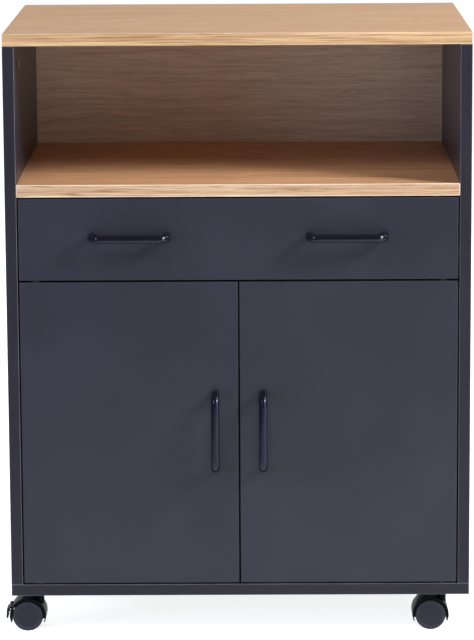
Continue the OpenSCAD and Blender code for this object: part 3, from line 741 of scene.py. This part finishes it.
OAK_TOP = OakPrint(
    "oak_top", (216, 174, 134), roughness=0.42, bump=0.25, depth=0.2 * MM, specular=0.26,
    dark=(168, 122, 80), contrast=0.85, along=3.0, across=65.0, lines=0.15,
)
# its pale rim line is partly wear, partly a painted highlight; the pale line low on its edge is a
# painted highlight
OAK_EDGE = OakPrint(
    "oak_edge", (230, 190, 147), bump=0.25, depth=0.2 * MM,
    dark=(158, 112, 68), contrast=0.95, along=1.9, across=190.0, lines=0.5, sway=0.007, low_highlight=0.4,
)
# a paler, warmer copy of the top's oak: painted light that makes up for the dimmer light in the
# niche
OAK_SHELF = OakPrint(
    "oak_shelf", (236, 187, 143), roughness=0.42, bump=0.25, depth=0.2 * MM, specular=0.24,
    dark=(172, 118, 74), contrast=0.95, along=2.6, across=80.0,
)
# its near-white rim line and the pale line low on its edge are painted highlights
OAK_SHELF_EDGE = OakPrint(
    "oak_shelf_edge", (229, 194, 160), bump=0.25, depth=0.2 * MM,
    line=(255, 244, 228), line_amount=0.85,
    dark=(164, 118, 78), contrast=0.9, along=2.2, across=170.0, lines=0.55, sway=0.007, low_highlight=1.0,
)
OAK_BACK = OakPrint(
    "oak_back", (228, 196, 170), roughness=0.55, bump=0.2,
    dark=(172, 138, 112), contrast=0.9, along=7.0, across=150.0, lines=0.25,
)
BEECH = OakPrint("beech_dowel", (206, 168, 118), roughness=0.6, bump=0.2, dark=(178, 136, 88))
GRAPHITE = Melamine(
    "graphite_board", (50, 48, 61), roughness=0.30, spread=0.015, bump=0.05, tone=0.03,
)
GRAPHITE_FRONT = Melamine("graphite_front", (48, 47, 58), roughness=0.34)
# its pale rim line is partly wear, partly a painted highlight on the rounded edges
GRAPHITE_EDGE = Melamine(
    "graphite_edge", (41, 38, 47), roughness=0.42, bump=0.12, specular=0.25,
    line=(138, 134, 144), line_amount=0.6,
)
FRONT_EDGE = Melamine(
    "front_edge", (40, 39, 50), roughness=0.42, bump=0.12, specular=0.25, line_amount=0.12,
)
GRAPHITE_INNER = Melamine(
    "graphite_inner", (46, 45, 55), roughness=0.5, bump=0.15, specular=0.25, line_amount=0.2,
)
GRAPHITE_SHEET = Melamine(
    "graphite_hardboard", (46, 45, 53), roughness=0.6, bump=0.2, specular=0.2, line_amount=0.1,
)
HARDBOARD = PressedWood(
    "raw_hardboard", (128, 92, 62), roughness=0.8, bump=0.3, depth=0.2 * MM, specular=0.2,
    dark=(84, 58, 38), chip=1.2 * MM,
)
CHIPBOARD = PressedWood(
    "raw_chipboard", (178, 146, 104), roughness=0.85, bump=0.5, depth=0.4 * MM, specular=0.2,
    dark=(120, 88, 56),
)
LACQUER = Plastic(
    "black_lacquer", (19, 19, 33), roughness=0.17, spread=0.02, bump=0.0, specular=0.36,
    line_amount=0.0, coat=0.22, tint=(214, 220, 255),
)
HOOD_NYLON = Plastic(
    "hood_nylon", (18, 17, 21), roughness=0.26, bump=0.06, depth=0.08 * MM, specular=0.08,
    line_amount=0.04, tint=(214, 214, 240),
)
# the pale line on the wheels is a painted highlight on the lip of the dish and the band outside it
WHEEL_NYLON = Plastic(
    "wheel_nylon", (46, 43, 55), spread=0.06, bump=0.12, specular=0.26, line_amount=0.22,
)
LEVER_NYLON = Plastic(
    "lever_nylon", (16, 15, 19), roughness=0.3, bump=0.08, specular=0.14, line_amount=0.04,
)
BLACK_NYLON = Plastic("black_nylon", (22, 22, 25), roughness=0.45, spread=0.06, bump=0.15)
WHITE_NYLON = Plastic("white_nylon", (222, 222, 216), line=(250, 250, 246))
BLACK_STEEL = Plastic("black_steel", (20, 20, 23), spread=0.08, bump=0.2)
ZINC = Plated(
    "zinc_plate", (205, 207, 210), roughness=0.28, bump=0.12, depth=0.03 * MM, specular=0.5,
)
GALVANISED = Plated(
    "galvanised_sheet", (190, 193, 197), roughness=0.36, bump=0.15, depth=0.04 * MM, specular=0.5,
)


# ---- meshes ----


class Grain(Enum):
    """The way the grain of a board's faces runs."""

    X = 0
    Y = 1
    Z = 2


class Side(Enum):
    """A side of the cart, as its way along X."""

    LEFT = -1
    RIGHT = 1

    @property
    def word(self) -> str:
        """The side's word in the names of nodes."""
        return self.name.lower()


class Cover(Enum):
    """What covers a face of a board, in the order of the board's materials."""

    FACE = 0
    EDGE = 1
    RAW = 2
    REAR = 3


def add_object(name: str, data: bpy.types.ID) -> bpy.types.Object:
    """Adds an object to the scene.

    Args:
        name: its name.
        data: its mesh, lamp or camera.

    Returns:
        The object.
    """
    made = bpy.data.objects.new(name, data)
    bpy.context.scene.collection.objects.link(made)
    return made


def round_edges(made: bmesh.types.BMesh, edges: list, radius: float, steps: int) -> list:
    """Rounds some edges of a mesh.

    Args:
        made: the mesh.
        edges: its edges to round.
        radius: the radius.
        steps: how many flat strips each edge gets.

    Returns:
        The new faces.
    """
    settings = {"offset_type": "OFFSET", "profile": QUARTER_ROUND, "affect": "EDGES"}
    return bmesh.ops.bevel(
        made, geom=edges, offset=radius, segments=steps, clamp_overlap=True, **settings
    )["faces"]


def smooth(made: bmesh.types.BMesh, angle: float = 35.0) -> None:
    """Shades a mesh smoothly, but for its sharper edges.

    Args:
        made: the mesh.
        angle: from how many degrees on an edge is sharp.
    """
    limit = math.radians(angle)
    for face in made.faces:
        face.smooth = True
    for edge in made.edges:
        edge.smooth = len(edge.link_faces) == 2 and edge.calc_face_angle(0.0) < limit


def arc(centre: Pair, radius: float, start: float, end: float, steps: int) -> list[Pair]:
    """Points on a flat arc.

    Args:
        centre: its centre.
        radius: its radius.
        start: its first angle, in degrees.
        end: its last angle, in degrees.
        steps: how many straight pieces it has.

    Returns:
        The points.
    """
    turns = [math.radians(start + (end - start) * i / steps) for i in range(steps + 1)]
    return [(centre[0] + radius * math.cos(t), centre[1] + radius * math.sin(t)) for t in turns]


class Packed:
    """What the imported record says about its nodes."""

    bodies: dict[str, str] = {
        n: b for b, ns in frame["record"]["behaviour"]["bodies"].items() for n in ns
    }
    slots: dict[str, str] = {p["node"]: p["material_slot"] for p in frame["record"]["subparts"]}
    flat: float = 0.4  # degrees: faces that meet at less are one

    @classmethod
    def mesh(cls, node: str) -> bmesh.types.BMesh:
        """Copies a node's mesh, with its flat faces in one piece where they can be.

        Args:
            node: the node's name.

        Returns:
            The copy.
        """
        made = bmesh.new()
        made.from_mesh(frame["nodes"][node].data)
        bmesh.ops.remove_doubles(made, verts=made.verts, dist=NEAR)
        limit = math.radians(cls.flat)
        bmesh.ops.dissolve_limit(made, angle_limit=limit, verts=made.verts, edges=made.edges)
        return made


@dataclass
class Piece:
    """A mesh that stands for one CAD node or more."""

    name: str
    nodes: tuple[str, ...]
    finishes: tuple[Finish, ...]

    def put(self, made: bmesh.types.BMesh) -> bpy.types.Object:
        """Turns a finished mesh into an object that rides on its nodes' body.

        Args:
            made: the mesh, which is freed.

        Returns:
            The new object.
        """
        data = bpy.data.meshes.new(self.name)
        made.to_mesh(data)
        made.free()
        for finish in self.finishes:
            data.materials.append(finish.material())
        piece = add_object(self.name, data)
        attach(piece, Packed.bodies[self.nodes[0]])
        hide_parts(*self.nodes)
        nodes = ", ".join(self.nodes)
        log.info("%s: %d faces, stands for %s", self.name, len(data.polygons), nodes)
        return piece


@dataclass
class Board:
    """A board with rounded edges, a face finish, an edge finish and raw bores.

    Its print starts at a random place within a reach, in metres, and a step further on for the
    faces square to each next axis, so that its sides show different grain.
    """

    node: str
    face: Finish
    edge: Finish
    grain: Grain = Grain.X
    radius: float = 0.7 * MM
    steps: int = 3
    raw: Finish = CHIPBOARD
    rear: Finish | None = None
    seed: int = 0
    print_reach: float = 9.0
    print_step: float = 0.7

    def build(self) -> bpy.types.Object:
        """Copies the CAD node, rounds the outer edges and marks grain, rims and finishes.

        Returns:
            The board.
        """
        made = Packed.mesh(self.node)
        low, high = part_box(self.node)
        outer = [e for e in made.edges if self.planes(e, low, high) >= 2]
        rims = set(round_edges(made, outer, self.radius, self.steps))
        self.mark(made, rims, low, high)
        finishes = (self.face, self.edge, self.raw, self.rear or self.face)
        return Piece(self.node + "_finished", (self.node,), finishes).put(made)

    @staticmethod
    def planes(edge: bmesh.types.BMEdge, low: Vector, high: Vector) -> int:
        """Counts the sides of the board's box that an edge lies on.

        Args:
            edge: the edge.
            low: the lowest corner of the box.
            high: its highest corner.

        Returns:
            How many sides it lies on.
        """
        ends = [v.co for v in edge.verts]
        sides = [(k, side[k]) for k in range(3) for side in (low, high)]
        return sum(all(abs(p[k] - level) < NEAR for p in ends) for k, level in sides)

    def mark(self, made: bmesh.types.BMesh, rims: set, low: Vector, high: Vector) -> None:
        """Writes the grain, rim and height attributes, and gives each face its finish.

        Args:
            made: the board's mesh.
            rims: the faces of its rounded edges.
            low: the lowest corner of its box.
            high: its highest corner.
        """
        grain = made.loops.layers.float_vector.new(GRAIN)
        rim = made.loops.layers.float.new(RIM)
        height = made.loops.layers.float.new(HEIGHT)
        thin = min(range(3), key=lambda k: high[k] - low[k])
        luck = random.Random(self.seed + len(self.node))
        offset = Vector([luck.uniform(0, self.print_reach) for _ in range(3)])
        for face in made.faces:
            axis = max(range(3), key=lambda k: abs(face.normal[k]))
            side = high if face.normal[axis] > 0 else low
            outside = abs(face.calc_center_median()[axis] - side[axis]) < ON_PLANE
            face.smooth = face in rims or not outside
            rear = self.rear is not None and face.normal[axis] > 0
            if face in rims:
                cover = Cover.EDGE
            elif not outside:
                cover = Cover.RAW
            elif axis != thin:
                cover = Cover.EDGE
            else:
                cover = Cover.REAR if rear else Cover.FACE
            face.material_index = cover.value
            along, across = self.directions(axis)
            for loop in face.loops:
                p = loop.vert.co
                print_place = Vector((p[along], p[across] + self.print_step * axis, 0.0))
                loop[grain] = print_place + offset
                loop[rim] = 1.0 if face in rims else 0.0
                loop[height] = (p[thin] - low[thin]) / (high[thin] - low[thin])

    def directions(self, axis: int) -> tuple[int, int]:
        """Finds which way the grain runs on a face.

        Args:
            axis: the axis that the face is square to.

        Returns:
            The axes along and across the grain.
        """
        left = [k for k in range(3) if k != axis]
        along = self.grain.value if self.grain.value in left else left[0]
        return along, left[1] if along == left[0] else left[0]


@dataclass
class Sheet(Board):
    """A thin sheet of hardboard: its front has a finish and its edges are raw."""

    edge: Finish = HARDBOARD
    radius: float = 0.3 * MM
    steps: int = 1
    raw: Finish = HARDBOARD


@dataclass
class Tube:
    """A round bar swept along a path of points."""

    radius: float
    sides: int = 40

    def draw(self, made: bmesh.types.BMesh, path: list[Vector], up: Vector) -> None:
        """Adds the bar, with flat ends.

        Args:
            made: the mesh to add to.
            path: its centre line.
            up: a direction square to the whole path.
        """
        rings = []
        for i, point in enumerate(path):
            before = path[max(0, i - 1)]
            after = path[min(len(path) - 1, i + 1)]
            ahead = (after - before).normalized()
            side = ahead.cross(up).normalized()
            ring = []
            for k in range(self.sides):
                turn = 2 * math.pi * k / self.sides
                out = math.cos(turn) * side + math.sin(turn) * up
                ring.append(made.verts.new(point + self.radius * out))
            rings.append(ring)
        for one, two in zip(rings, rings[1:]):
            for k in range(self.sides):
                j = (k + 1) % self.sides
                made.faces.new((one[k], one[j], two[j], two[k]))
        made.faces.new(rings[0][::-1])
        made.faces.new(rings[-1])
        bmesh.ops.recalc_face_normals(made, faces=made.faces)


@dataclass
class Lathe:
    """A turned piece: an outline of (radius, place along the axis) round an axis."""

    outline: list[Pair]
    sides: int = 96
    merge: float = 1e-7

    def draw(self, made: bmesh.types.BMesh, centre: Vector, axis: Vector, side: Vector) -> None:
        """Adds the closed turned solid.

        Args:
            made: the mesh to add to.
            centre: where the axis starts.
            axis: the axis's direction.
            side: a direction square to it.
        """
        across = axis.cross(side)
        rings = []
        for k in range(self.sides):
            turn = 2 * math.pi * k / self.sides
            out = math.cos(turn) * side + math.sin(turn) * across
            rings.append([made.verts.new(centre + r * out + w * axis) for r, w in self.outline])
        count = len(self.outline)
        for k in range(self.sides):
            one, two = rings[k], rings[(k + 1) % self.sides]
            for i in range(count):
                j = (i + 1) % count
                made.faces.new((one[i], one[j], two[j], two[i]))
        bmesh.ops.remove_doubles(made, verts=made.verts, dist=self.merge)
        bmesh.ops.recalc_face_normals(made, faces=made.faces)


# ---- the cart's parts ----


@dataclass
class Kept:
    """CAD nodes whose shape is right as it is, and gets a finish."""

    finish: Finish
    nodes: tuple[str, ...]

    def build(self) -> None:
        """Gives each node its finish."""
        for name in self.nodes:
            data = frame["nodes"][name].data
            data.materials.clear()
            data.materials.append(self.finish.material())
            log.info("%s: CAD node with %s", name, self.finish.name)


@dataclass
class Handle:
    """Bow handles of lacquered round bar, each at a centre."""

    name: str
    nodes: tuple[str, ...]
    centres: tuple[Vector, ...]
    along: Vector
    span: float = 96 * MM
    out: float = 28 * MM
    bar: float = 11 * MM
    bend: float = 12 * MM
    bend_steps: int = 14

    def path(self, centre: Vector) -> list[Vector]:
        """Draws the bar's centre line.

        Args:
            centre: the middle between the feet.

        Returns:
            Its points, from foot to foot.
        """
        depth = self.out - self.bar / 2
        reach = self.span / 2 - self.bend
        half = [(self.span / 2, 0.0), (self.span / 2, (depth - self.bend) / 2)]
        half += arc((reach, depth - self.bend), self.bend, 0, 90, self.bend_steps)
        flat = half + [(0.0, depth)] + [(-a, b) for a, b in reversed(half)]
        return [centre + a * self.along + Vector((0, -b, 0)) for a, b in flat]

    def build(self) -> bpy.types.Object:
        """Sweeps the bars into one piece.

        Returns:
            The handles.
        """
        made = bmesh.new()
        up = self.along.cross(Vector((0, 1, 0)))
        for centre in self.centres:
            Tube(self.bar / 2).draw(made, self.path(centre), up)
        smooth(made)
        return Piece(self.name, self.nodes, (LACQUER,)).put(made)


@dataclass
class Cabinet:
    """The fixed boards and their hardware."""

    oak_radius: float = 0.9 * MM
    radius: float = 0.6 * MM

    def build(self) -> None:
        """Builds the boards, then dresses the hardware that stays."""
        Board("top_board", OAK_TOP, OAK_EDGE, radius=self.oak_radius, seed=3).build()
        Board("fixed_shelf", OAK_SHELF, OAK_SHELF_EDGE, radius=self.oak_radius, seed=5).build()
        Sheet("niche_back_panel", OAK_BACK, rear=HARDBOARD, seed=7).build()
        Sheet("lower_back_panel", GRAPHITE_SHEET, rear=HARDBOARD, seed=8).build()
        for side in Side:
            name = side.word + "_side_panel"
            Board(name, GRAPHITE, GRAPHITE_EDGE, Grain.Z, self.radius).build()
        Board("bottom_panel", GRAPHITE, GRAPHITE_EDGE, radius=self.radius).build()
        Board("divider_panel", GRAPHITE_INNER, GRAPHITE_INNER, radius=self.radius).build()
        Board("loose_shelf", GRAPHITE_INNER, GRAPHITE_EDGE, radius=self.radius).build()
        Kept(ZINC, ("shelf_pins", "cam_locks", "cam_bolts", "cabinet_screws")).build()
        Kept(BEECH, ("dowels",)).build()
        Kept(GALVANISED, ("left_cabinet_runner", "right_cabinet_runner")).build()
        Kept(BLACK_NYLON, ("magnetic_catches",)).build()
        Kept(BLACK_STEEL, ("caster_plates", "pivot_plates")).build()
        Kept(WHITE_NYLON, ("left_front_roller", "right_front_roller")).build()


@dataclass
class Drawer:
    """The drawer with its box, handles and slides."""

    handle_x: float = 140 * MM
    handle_z: float = 531.75 * MM
    front_y: float = -186 * MM
    front_radius: float = 0.8 * MM
    box_radius: float = 0.5 * MM

    def build(self) -> None:
        """Builds the front, the handles and the box."""
        Board("drawer_front", GRAPHITE_FRONT, FRONT_EDGE, radius=self.front_radius, seed=11).build()
        handle = Vector((self.handle_x, self.front_y, self.handle_z))
        places = tuple(Vector((side.value * handle.x, handle.y, handle.z)) for side in Side)
        Handle("drawer_bow_handles", ("drawer_handles",), places, Vector((1, 0, 0))).build()
        inner = (GRAPHITE_INNER, GRAPHITE_INNER)
        for side in Side:
            Board(side.word + "_drawer_side", *inner, Grain.Y, self.box_radius).build()
        Board("drawer_back", *inner, radius=self.box_radius).build()
        Sheet("drawer_bottom", GRAPHITE_SHEET).build()
        Kept(GALVANISED, ("left_drawer_runner", "right_drawer_runner")).build()
        Kept(ZINC, ("drawer_cams", "drawer_screws")).build()
        Kept(WHITE_NYLON, ("left_rear_roller", "right_rear_roller")).build()


@dataclass
class Door:
    """One door with its handle, bushes and fittings."""

    side: Side
    handle_x: float = 31 * MM
    handle_z: float = 275.5 * MM
    front_y: float = -186 * MM
    front_radius: float = 0.8 * MM
    seed: int = 20

    def build(self) -> None:
        """Builds the door's board and handle, and dresses its fittings."""
        name = self.side.word + "_door"
        front = (GRAPHITE_FRONT, FRONT_EDGE, Grain.Z, self.front_radius)
        Board(name, *front, seed=self.seed + self.side.value).build()
        centre = Vector((self.side.value * self.handle_x, self.front_y, self.handle_z))
        up = Vector((0, 0, 1))
        Handle(name + "_bow_handle", (name + "_handle",), (centre,), up).build()
        Kept(BLACK_NYLON, (name + "_bushes",)).build()
        Kept(ZINC, (name + "_fittings",)).build()


@dataclass
class Caster:
    """A twin-wheel caster with a hooded housing, and a brake lever if it is braked.

    Its wheels trail to one side of the swivel. A field that ends in _r is a radius round the
    axle, one that ends in _w a place along it from the wheel's inner face, and the fold is the
    angle, in degrees, from which on an edge of the hood is sharp.
    """

    name: str
    swivel: Pair
    trails: Side
    braked: bool
    trail: float = 15 * MM
    wheel_r: float = 20 * MM
    wheel_w: float = 15.5 * MM
    inner: float = 2 * MM
    bore_r: float = 3.05 * MM
    bore_w: float = 12 * MM
    hub_r: float = 6.5 * MM
    hollow_r: float = 16.5 * MM
    hollow_w: float = 11 * MM
    soft: float = 0.5 * MM
    soft_steps: int = 3
    tread_edge: float = 1.6 * MM
    tread_steps: int = 8
    dish_r: float = 15.5 * MM
    dish_depth: float = 0.5 * MM
    dish_edge: float = 0.4 * MM
    dish_slope: float = 0.3 * MM
    dish_steps: int = 4
    lip_r: float = 15.1 * MM
    lip_width: float = 0.9 * MM
    band_highlight: float = 0.25
    hood_half: float = 17 * MM
    hood_shell_r: float = 23.6 * MM
    hood_radius: float = 1.1 * MM
    hood_steps: int = 4
    hood_fold: float = 30.0

    def wheel_outline(self) -> list[Pair]:
        """Draws the wheel's outline, from its bore round the tread to its outer face.

        Returns:
            Its points, each a radius and a place along the axle.
        """
        r, w, soft, tread, dish = (
            self.wheel_r, self.wheel_w, self.soft, self.tread_edge, self.dish_edge
        )
        hub, hollow = self.hub_r, self.hollow_r
        outline = [(self.bore_r, 0), (hub - soft, 0)]
        outline += arc((hub - soft, soft), soft, -90, 0, self.soft_steps)
        outline += [(hub, self.hollow_w), (hollow, self.hollow_w), (hollow, soft)]
        outline += arc((hollow + soft, soft), soft, 180, 270, self.soft_steps)
        outline += arc((r - tread, tread), tread, -90, 0, self.tread_steps)
        outline += arc((r - tread, w - tread), tread, 0, 90, self.tread_steps)
        outline += arc((self.dish_r + dish, w - dish), dish, 90, 180, self.dish_steps)
        floor = w - self.dish_depth
        outline += [(self.dish_r - self.dish_slope, floor), (0.0, floor)]
        outline += [(0.0, self.bore_w), (self.bore_r, self.bore_w)]
        return outline

    def build(self) -> None:
        """Builds the wheels and the hood, and dresses the axle and the lever."""
        x = self.swivel[0] + self.trails.value * self.trail
        for part, sign in (("near", -1), ("far", 1)):
            made = bmesh.new()
            centre = Vector((x, self.swivel[1] + sign * self.inner, self.wheel_r))
            axle, side = Vector((0, sign, 0)), Vector((1, 0, 0))
            Lathe(self.wheel_outline()).draw(made, centre, axle, side)
            # painted highlight on the lip of the dish and the band outside it
            self.ring(made, centre)
            smooth(made)
            node = f"{self.name}_{part}_wheel"
            Piece(f"{node}_turned", (node,), (WHEEL_NYLON,)).put(made)
        self.hood(x)
        Kept(ZINC, (self.name + "_axle",)).build()
        if self.braked:
            Kept(LEVER_NYLON, (self.name + "_lever",)).build()

    def ring(self, made: bmesh.types.BMesh, centre: Vector) -> None:
        """Marks a painted highlight on the lip round a wheel's dish and, fainter, on the band
        outside it.

        Args:
            made: the wheel's mesh.
            centre: the middle of its inner face.
        """
        rim = made.loops.layers.float.new(RIM)
        for face in made.faces:
            out = face.calc_center_median() - centre
            away = math.hypot(out.x, out.z)
            mark = 1.0 if self.lip_r <= away < self.lip_r + self.lip_width else 0.0
            if away >= self.lip_r + self.lip_width and abs(out.y) > self.wheel_w / 2:
                mark = self.band_highlight
            for loop in face.loops:
                loop[rim] = mark

    def hood(self, x: float) -> None:
        """Copies the CAD hood and rounds the rims of its shell.

        Args:
            x: where the axle is.
        """
        node = self.name + "_hood"
        made = Packed.mesh(node)
        rims = [e for e in made.edges if all(self.on_rim(v.co, x) for v in e.verts)]
        round_edges(made, rims, self.hood_radius, self.hood_steps)
        smooth(made, self.hood_fold)
        Piece(node + "_moulded", (node,), (HOOD_NYLON,)).put(made)

    def on_rim(self, place: Vector, x: float) -> bool:
        """Tells whether a place lies on a rim of the hood's shell.

        Args:
            place: the place.
            x: where the axle is.

        Returns:
            Whether it does.
        """
        beside = abs(abs(place.y - self.swivel[1]) - self.hood_half) < ON_PLANE
        out = Vector((place.x - x, place.z - self.wheel_r))
        return beside and out.length > self.hood_shell_r


@dataclass
class Casters:
    """The four casters: the front pair trails to the left, and the rear pair to the right."""

    x: float = 266 * MM
    front_y: float = -148 * MM
    rear_y: float = 176 * MM

    def build(self) -> None:
        """Builds each caster in its corner."""
        Caster("front_left", (-self.x, self.front_y), Side.LEFT, braked=True).build()
        Caster("front_right", (self.x, self.front_y), Side.LEFT, braked=False).build()
        Caster("rear_left", (-self.x, self.rear_y), Side.RIGHT, braked=False).build()
        Caster("rear_right", (self.x, self.rear_y), Side.RIGHT, braked=True).build()


# ---- the studio ----


@dataclass(frozen=True)
class Lamp:
    """A soft area lamp that looks at a point of the cart.

    One that isn't mirrored lights the cart and has no reflection in it. One that doesn't light
    has only its reflection.
    """

    name: str
    place: Triple
    target: Triple
    size: Pair
    power: float
    colour: Colour = (1.0, 1.0, 1.0)
    mirrored: bool = False
    lights: bool = True

    def build(self) -> None:
        """Adds the lamp."""
        data = bpy.data.lights.new(self.name, "AREA")
        data.shape = "RECTANGLE"
        data.size, data.size_y = self.size
        data.energy = self.power
        data.color = self.colour
        lamp = add_object(self.name, data)
        lamp.location = self.place
        lamp.visible_glossy = self.mirrored
        lamp.visible_diffuse = self.lights
        lamp.visible_camera = False
        lamp.rotation_mode = "QUATERNION"
        aim = Vector(self.target) - Vector(self.place)
        lamp.rotation_quaternion = aim.to_track_quat("-Z", "Y")


LAMPS = (
    Lamp("key", (2.60, -1.32, 2.36), (0.0, -0.1, 0.6), (0.95, 0.95), 120.0, mirrored=True),
    Lamp(
        "strip", (1.9, -1.5, 0.7), (0.0, -0.1, 0.4), (0.4, 1.3), 18.0,
        mirrored=True, lights=False,
    ),
    Lamp(
        "glint", (-1.7, -1.7, 1.7), (0.0, -0.1, 0.4), (0.35, 0.35), 16.0, (0.85, 0.92, 1.0),
        mirrored=True, lights=False,
    ),
    Lamp("fill", (-0.5, -2.6, 3.3), (0.0, -0.1, 0.5), (2.0, 1.4), 38.0),
    Lamp("back", (0.2, 2.7, 2.4), (0.0, 0.0, 0.6), (1.5, 1.5), 39.0),
    Lamp("left", (-2.9, 1.0, 1.3), (0.0, 0.0, 0.5), (1.0, 1.0), 26.0),
    Lamp("front", (0.2, -2.6, 0.46), (0.1, 0.0, 0.7), (1.2, 0.9), 10.0, (0.88, 0.94, 1.0)),
    Lamp("side", (-2.6, -1.4, 0.7), (0.0, 0.0, 0.6), (0.8, 0.8), 32.0, (0.66, 0.82, 1.0)),
    Lamp("cool", (-1.85, -2.05, 0.75), (0.1, 0.0, 0.68), (0.6, 1.0), 11.0, (0.42, 0.68, 1.0)),
)


@dataclass(frozen=True)
class Studio:
    """Floor, world and lamps.

    Each pair is a range. To the camera, the floor glows more and more over the distances of
    glow_reach. Reflections see it lit round the pool, and beyond pool_reach the dark end of
    the room. The sky that they see goes from the dark end in front of the cart to the pale
    end behind it, over the directions of room_turn.
    """

    floor_half: float = 30.0
    paper: float = 0.74
    glow: Pair = (0.84, 1.0)
    glow_reach: Pair = (0.9, 2.6)
    glow_mirrored: float = 0.4
    pool: Triple = (0.75, -0.3, 0.0)
    pool_reach: Pair = (0.9, 2.1)
    sky: float = 0.07
    sky_colour: Colour = (0.97, 0.98, 1.0)
    room: Pair = (0.1, 0.5)
    room_turn: Pair = (-0.1, 0.6)

    def build(self) -> None:
        """Builds everything that isn't part of the cart."""
        self.floor()
        self.world()
        for lamp in LAMPS:
            lamp.build()
        bpy.context.scene.view_settings.view_transform = "Standard"

    def floor(self) -> None:
        """Builds a pale floor, white to the camera but for the cart's soft shadow."""
        made = bmesh.new()
        bmesh.ops.create_grid(made, x_segments=2, y_segments=2, size=self.floor_half)
        data = bpy.data.meshes.new("studio_floor")
        made.to_mesh(data)
        made.free()
        floor = add_object("studio_floor", data)
        material = bpy.data.materials.new("studio_floor")
        material.use_nodes = True
        material.node_tree.nodes.clear()
        graph = Graph(material.node_tree)
        paths = graph.add("LightPath").outputs
        place = graph.add("TexCoord").outputs["Object"]
        away = graph.add("VectorMath", {0: place}, operation="LENGTH").outputs["Value"]
        camera = graph.ramp(away, self.glow_reach, self.glow)
        camera = graph.math("MULTIPLY", camera, paths["Is Camera Ray"])
        mirror = graph.math("MAXIMUM", paths["Is Glossy Ray"], paths["Is Transmission Ray"])
        pool = graph.add("VectorMath", {0: place, 1: self.pool}, operation="DISTANCE")
        beyond = graph.ramp(pool.outputs["Value"], self.pool_reach)
        beyond = graph.math("MULTIPLY", mirror, beyond)
        glow = graph.math("MULTIPLY", mirror, self.glow_mirrored)
        glow = graph.math("ADD", camera, glow)
        paper = graph.add("BsdfDiffuse", {"Color": (self.paper, self.paper, self.paper, 1)})
        light = graph.add("Emission", {"Color": WHITE, "Strength": glow})
        both = graph.add("AddShader", {0: paper.outputs[0], 1: light.outputs[0]})
        room = graph.add("Emission", {"Color": WHITE, "Strength": self.room[0]})
        mixed = graph.add("MixShader", {0: beyond, 1: both.outputs[0], 2: room.outputs[0]})
        graph.feed(graph.add("OutputMaterial").inputs["Surface"], mixed.outputs[0])
        data.materials.append(material)

    def world(self) -> None:
        """Builds a dim even sky, white to the camera and darker in reflections."""
        world = bpy.data.worlds.new("studio")
        bpy.context.scene.world = world
        world.use_nodes = True
        world.node_tree.nodes.clear()
        graph = Graph(world.node_tree)
        paths = graph.add("LightPath").outputs
        place = graph.add("TexCoord").outputs["Generated"]
        toward = graph.add("SeparateXYZ", {0: place}).outputs["Y"]
        room = graph.ramp(toward, self.room_turn, self.room)
        mirror = graph.math("MAXIMUM", paths["Is Glossy Ray"], paths["Is Transmission Ray"])
        strength = graph.math("MULTIPLY", mirror, room)
        strength = graph.math("ADD", paths["Is Camera Ray"], strength)
        seen = graph.math("MAXIMUM", paths["Is Camera Ray"], mirror)
        sky = graph.add("Background", {"Color": (*self.sky_colour, 1), "Strength": self.sky})
        white = graph.add("Background", {"Color": WHITE, "Strength": strength})
        mixed = graph.add("MixShader", {0: seen, 1: sky.outputs[0], 2: white.outputs[0]})
        graph.feed(graph.add("OutputWorld").inputs["Surface"], mixed.outputs[0])


@dataclass(frozen=True)
class Viewpoint:
    """The photograph's camera, fitted to the cart's edges."""

    place: Triple = (0.028, -4.086, 1.194)
    pitch: float = 9.65
    yaw: float = -0.434
    roll: float = -0.34
    lens: float = 173.0
    sensor: float = 36.0
    shift_y: float = -0.13
    sight: float = 200.0

    def build(self) -> None:
        """Makes the camera and gives it to the scene."""
        data = bpy.data.cameras.new("viewpoint")
        data.sensor_width = self.sensor
        data.lens = self.lens
        data.shift_y = self.shift_y
        data.clip_end = self.sight
        camera = add_object("viewpoint", data)
        turn = Matrix.Rotation(math.radians(self.roll), 3, "Y")
        turn = turn @ Matrix.Rotation(math.radians(self.pitch), 3, "X")
        turn = turn @ Matrix.Rotation(math.radians(self.yaw), 3, "Z")
        right, ahead, up = turn
        axes = Matrix((right, up, -ahead)).transposed()
        camera.matrix_world = Matrix.Translation(self.place) @ axes.to_4x4()
        bpy.context.scene.camera = camera


def main() -> None:
    """Builds the studio and the cart."""
    logging.basicConfig(level=logging.INFO, format="%(name)s %(message)s")
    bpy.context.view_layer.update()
    Viewpoint().build()
    Studio().build()
    Cabinet().build()
    Drawer().build()
    for side in Side:
        Door(side).build()
    Casters().build()


if __name__ == "__main__":
    main()
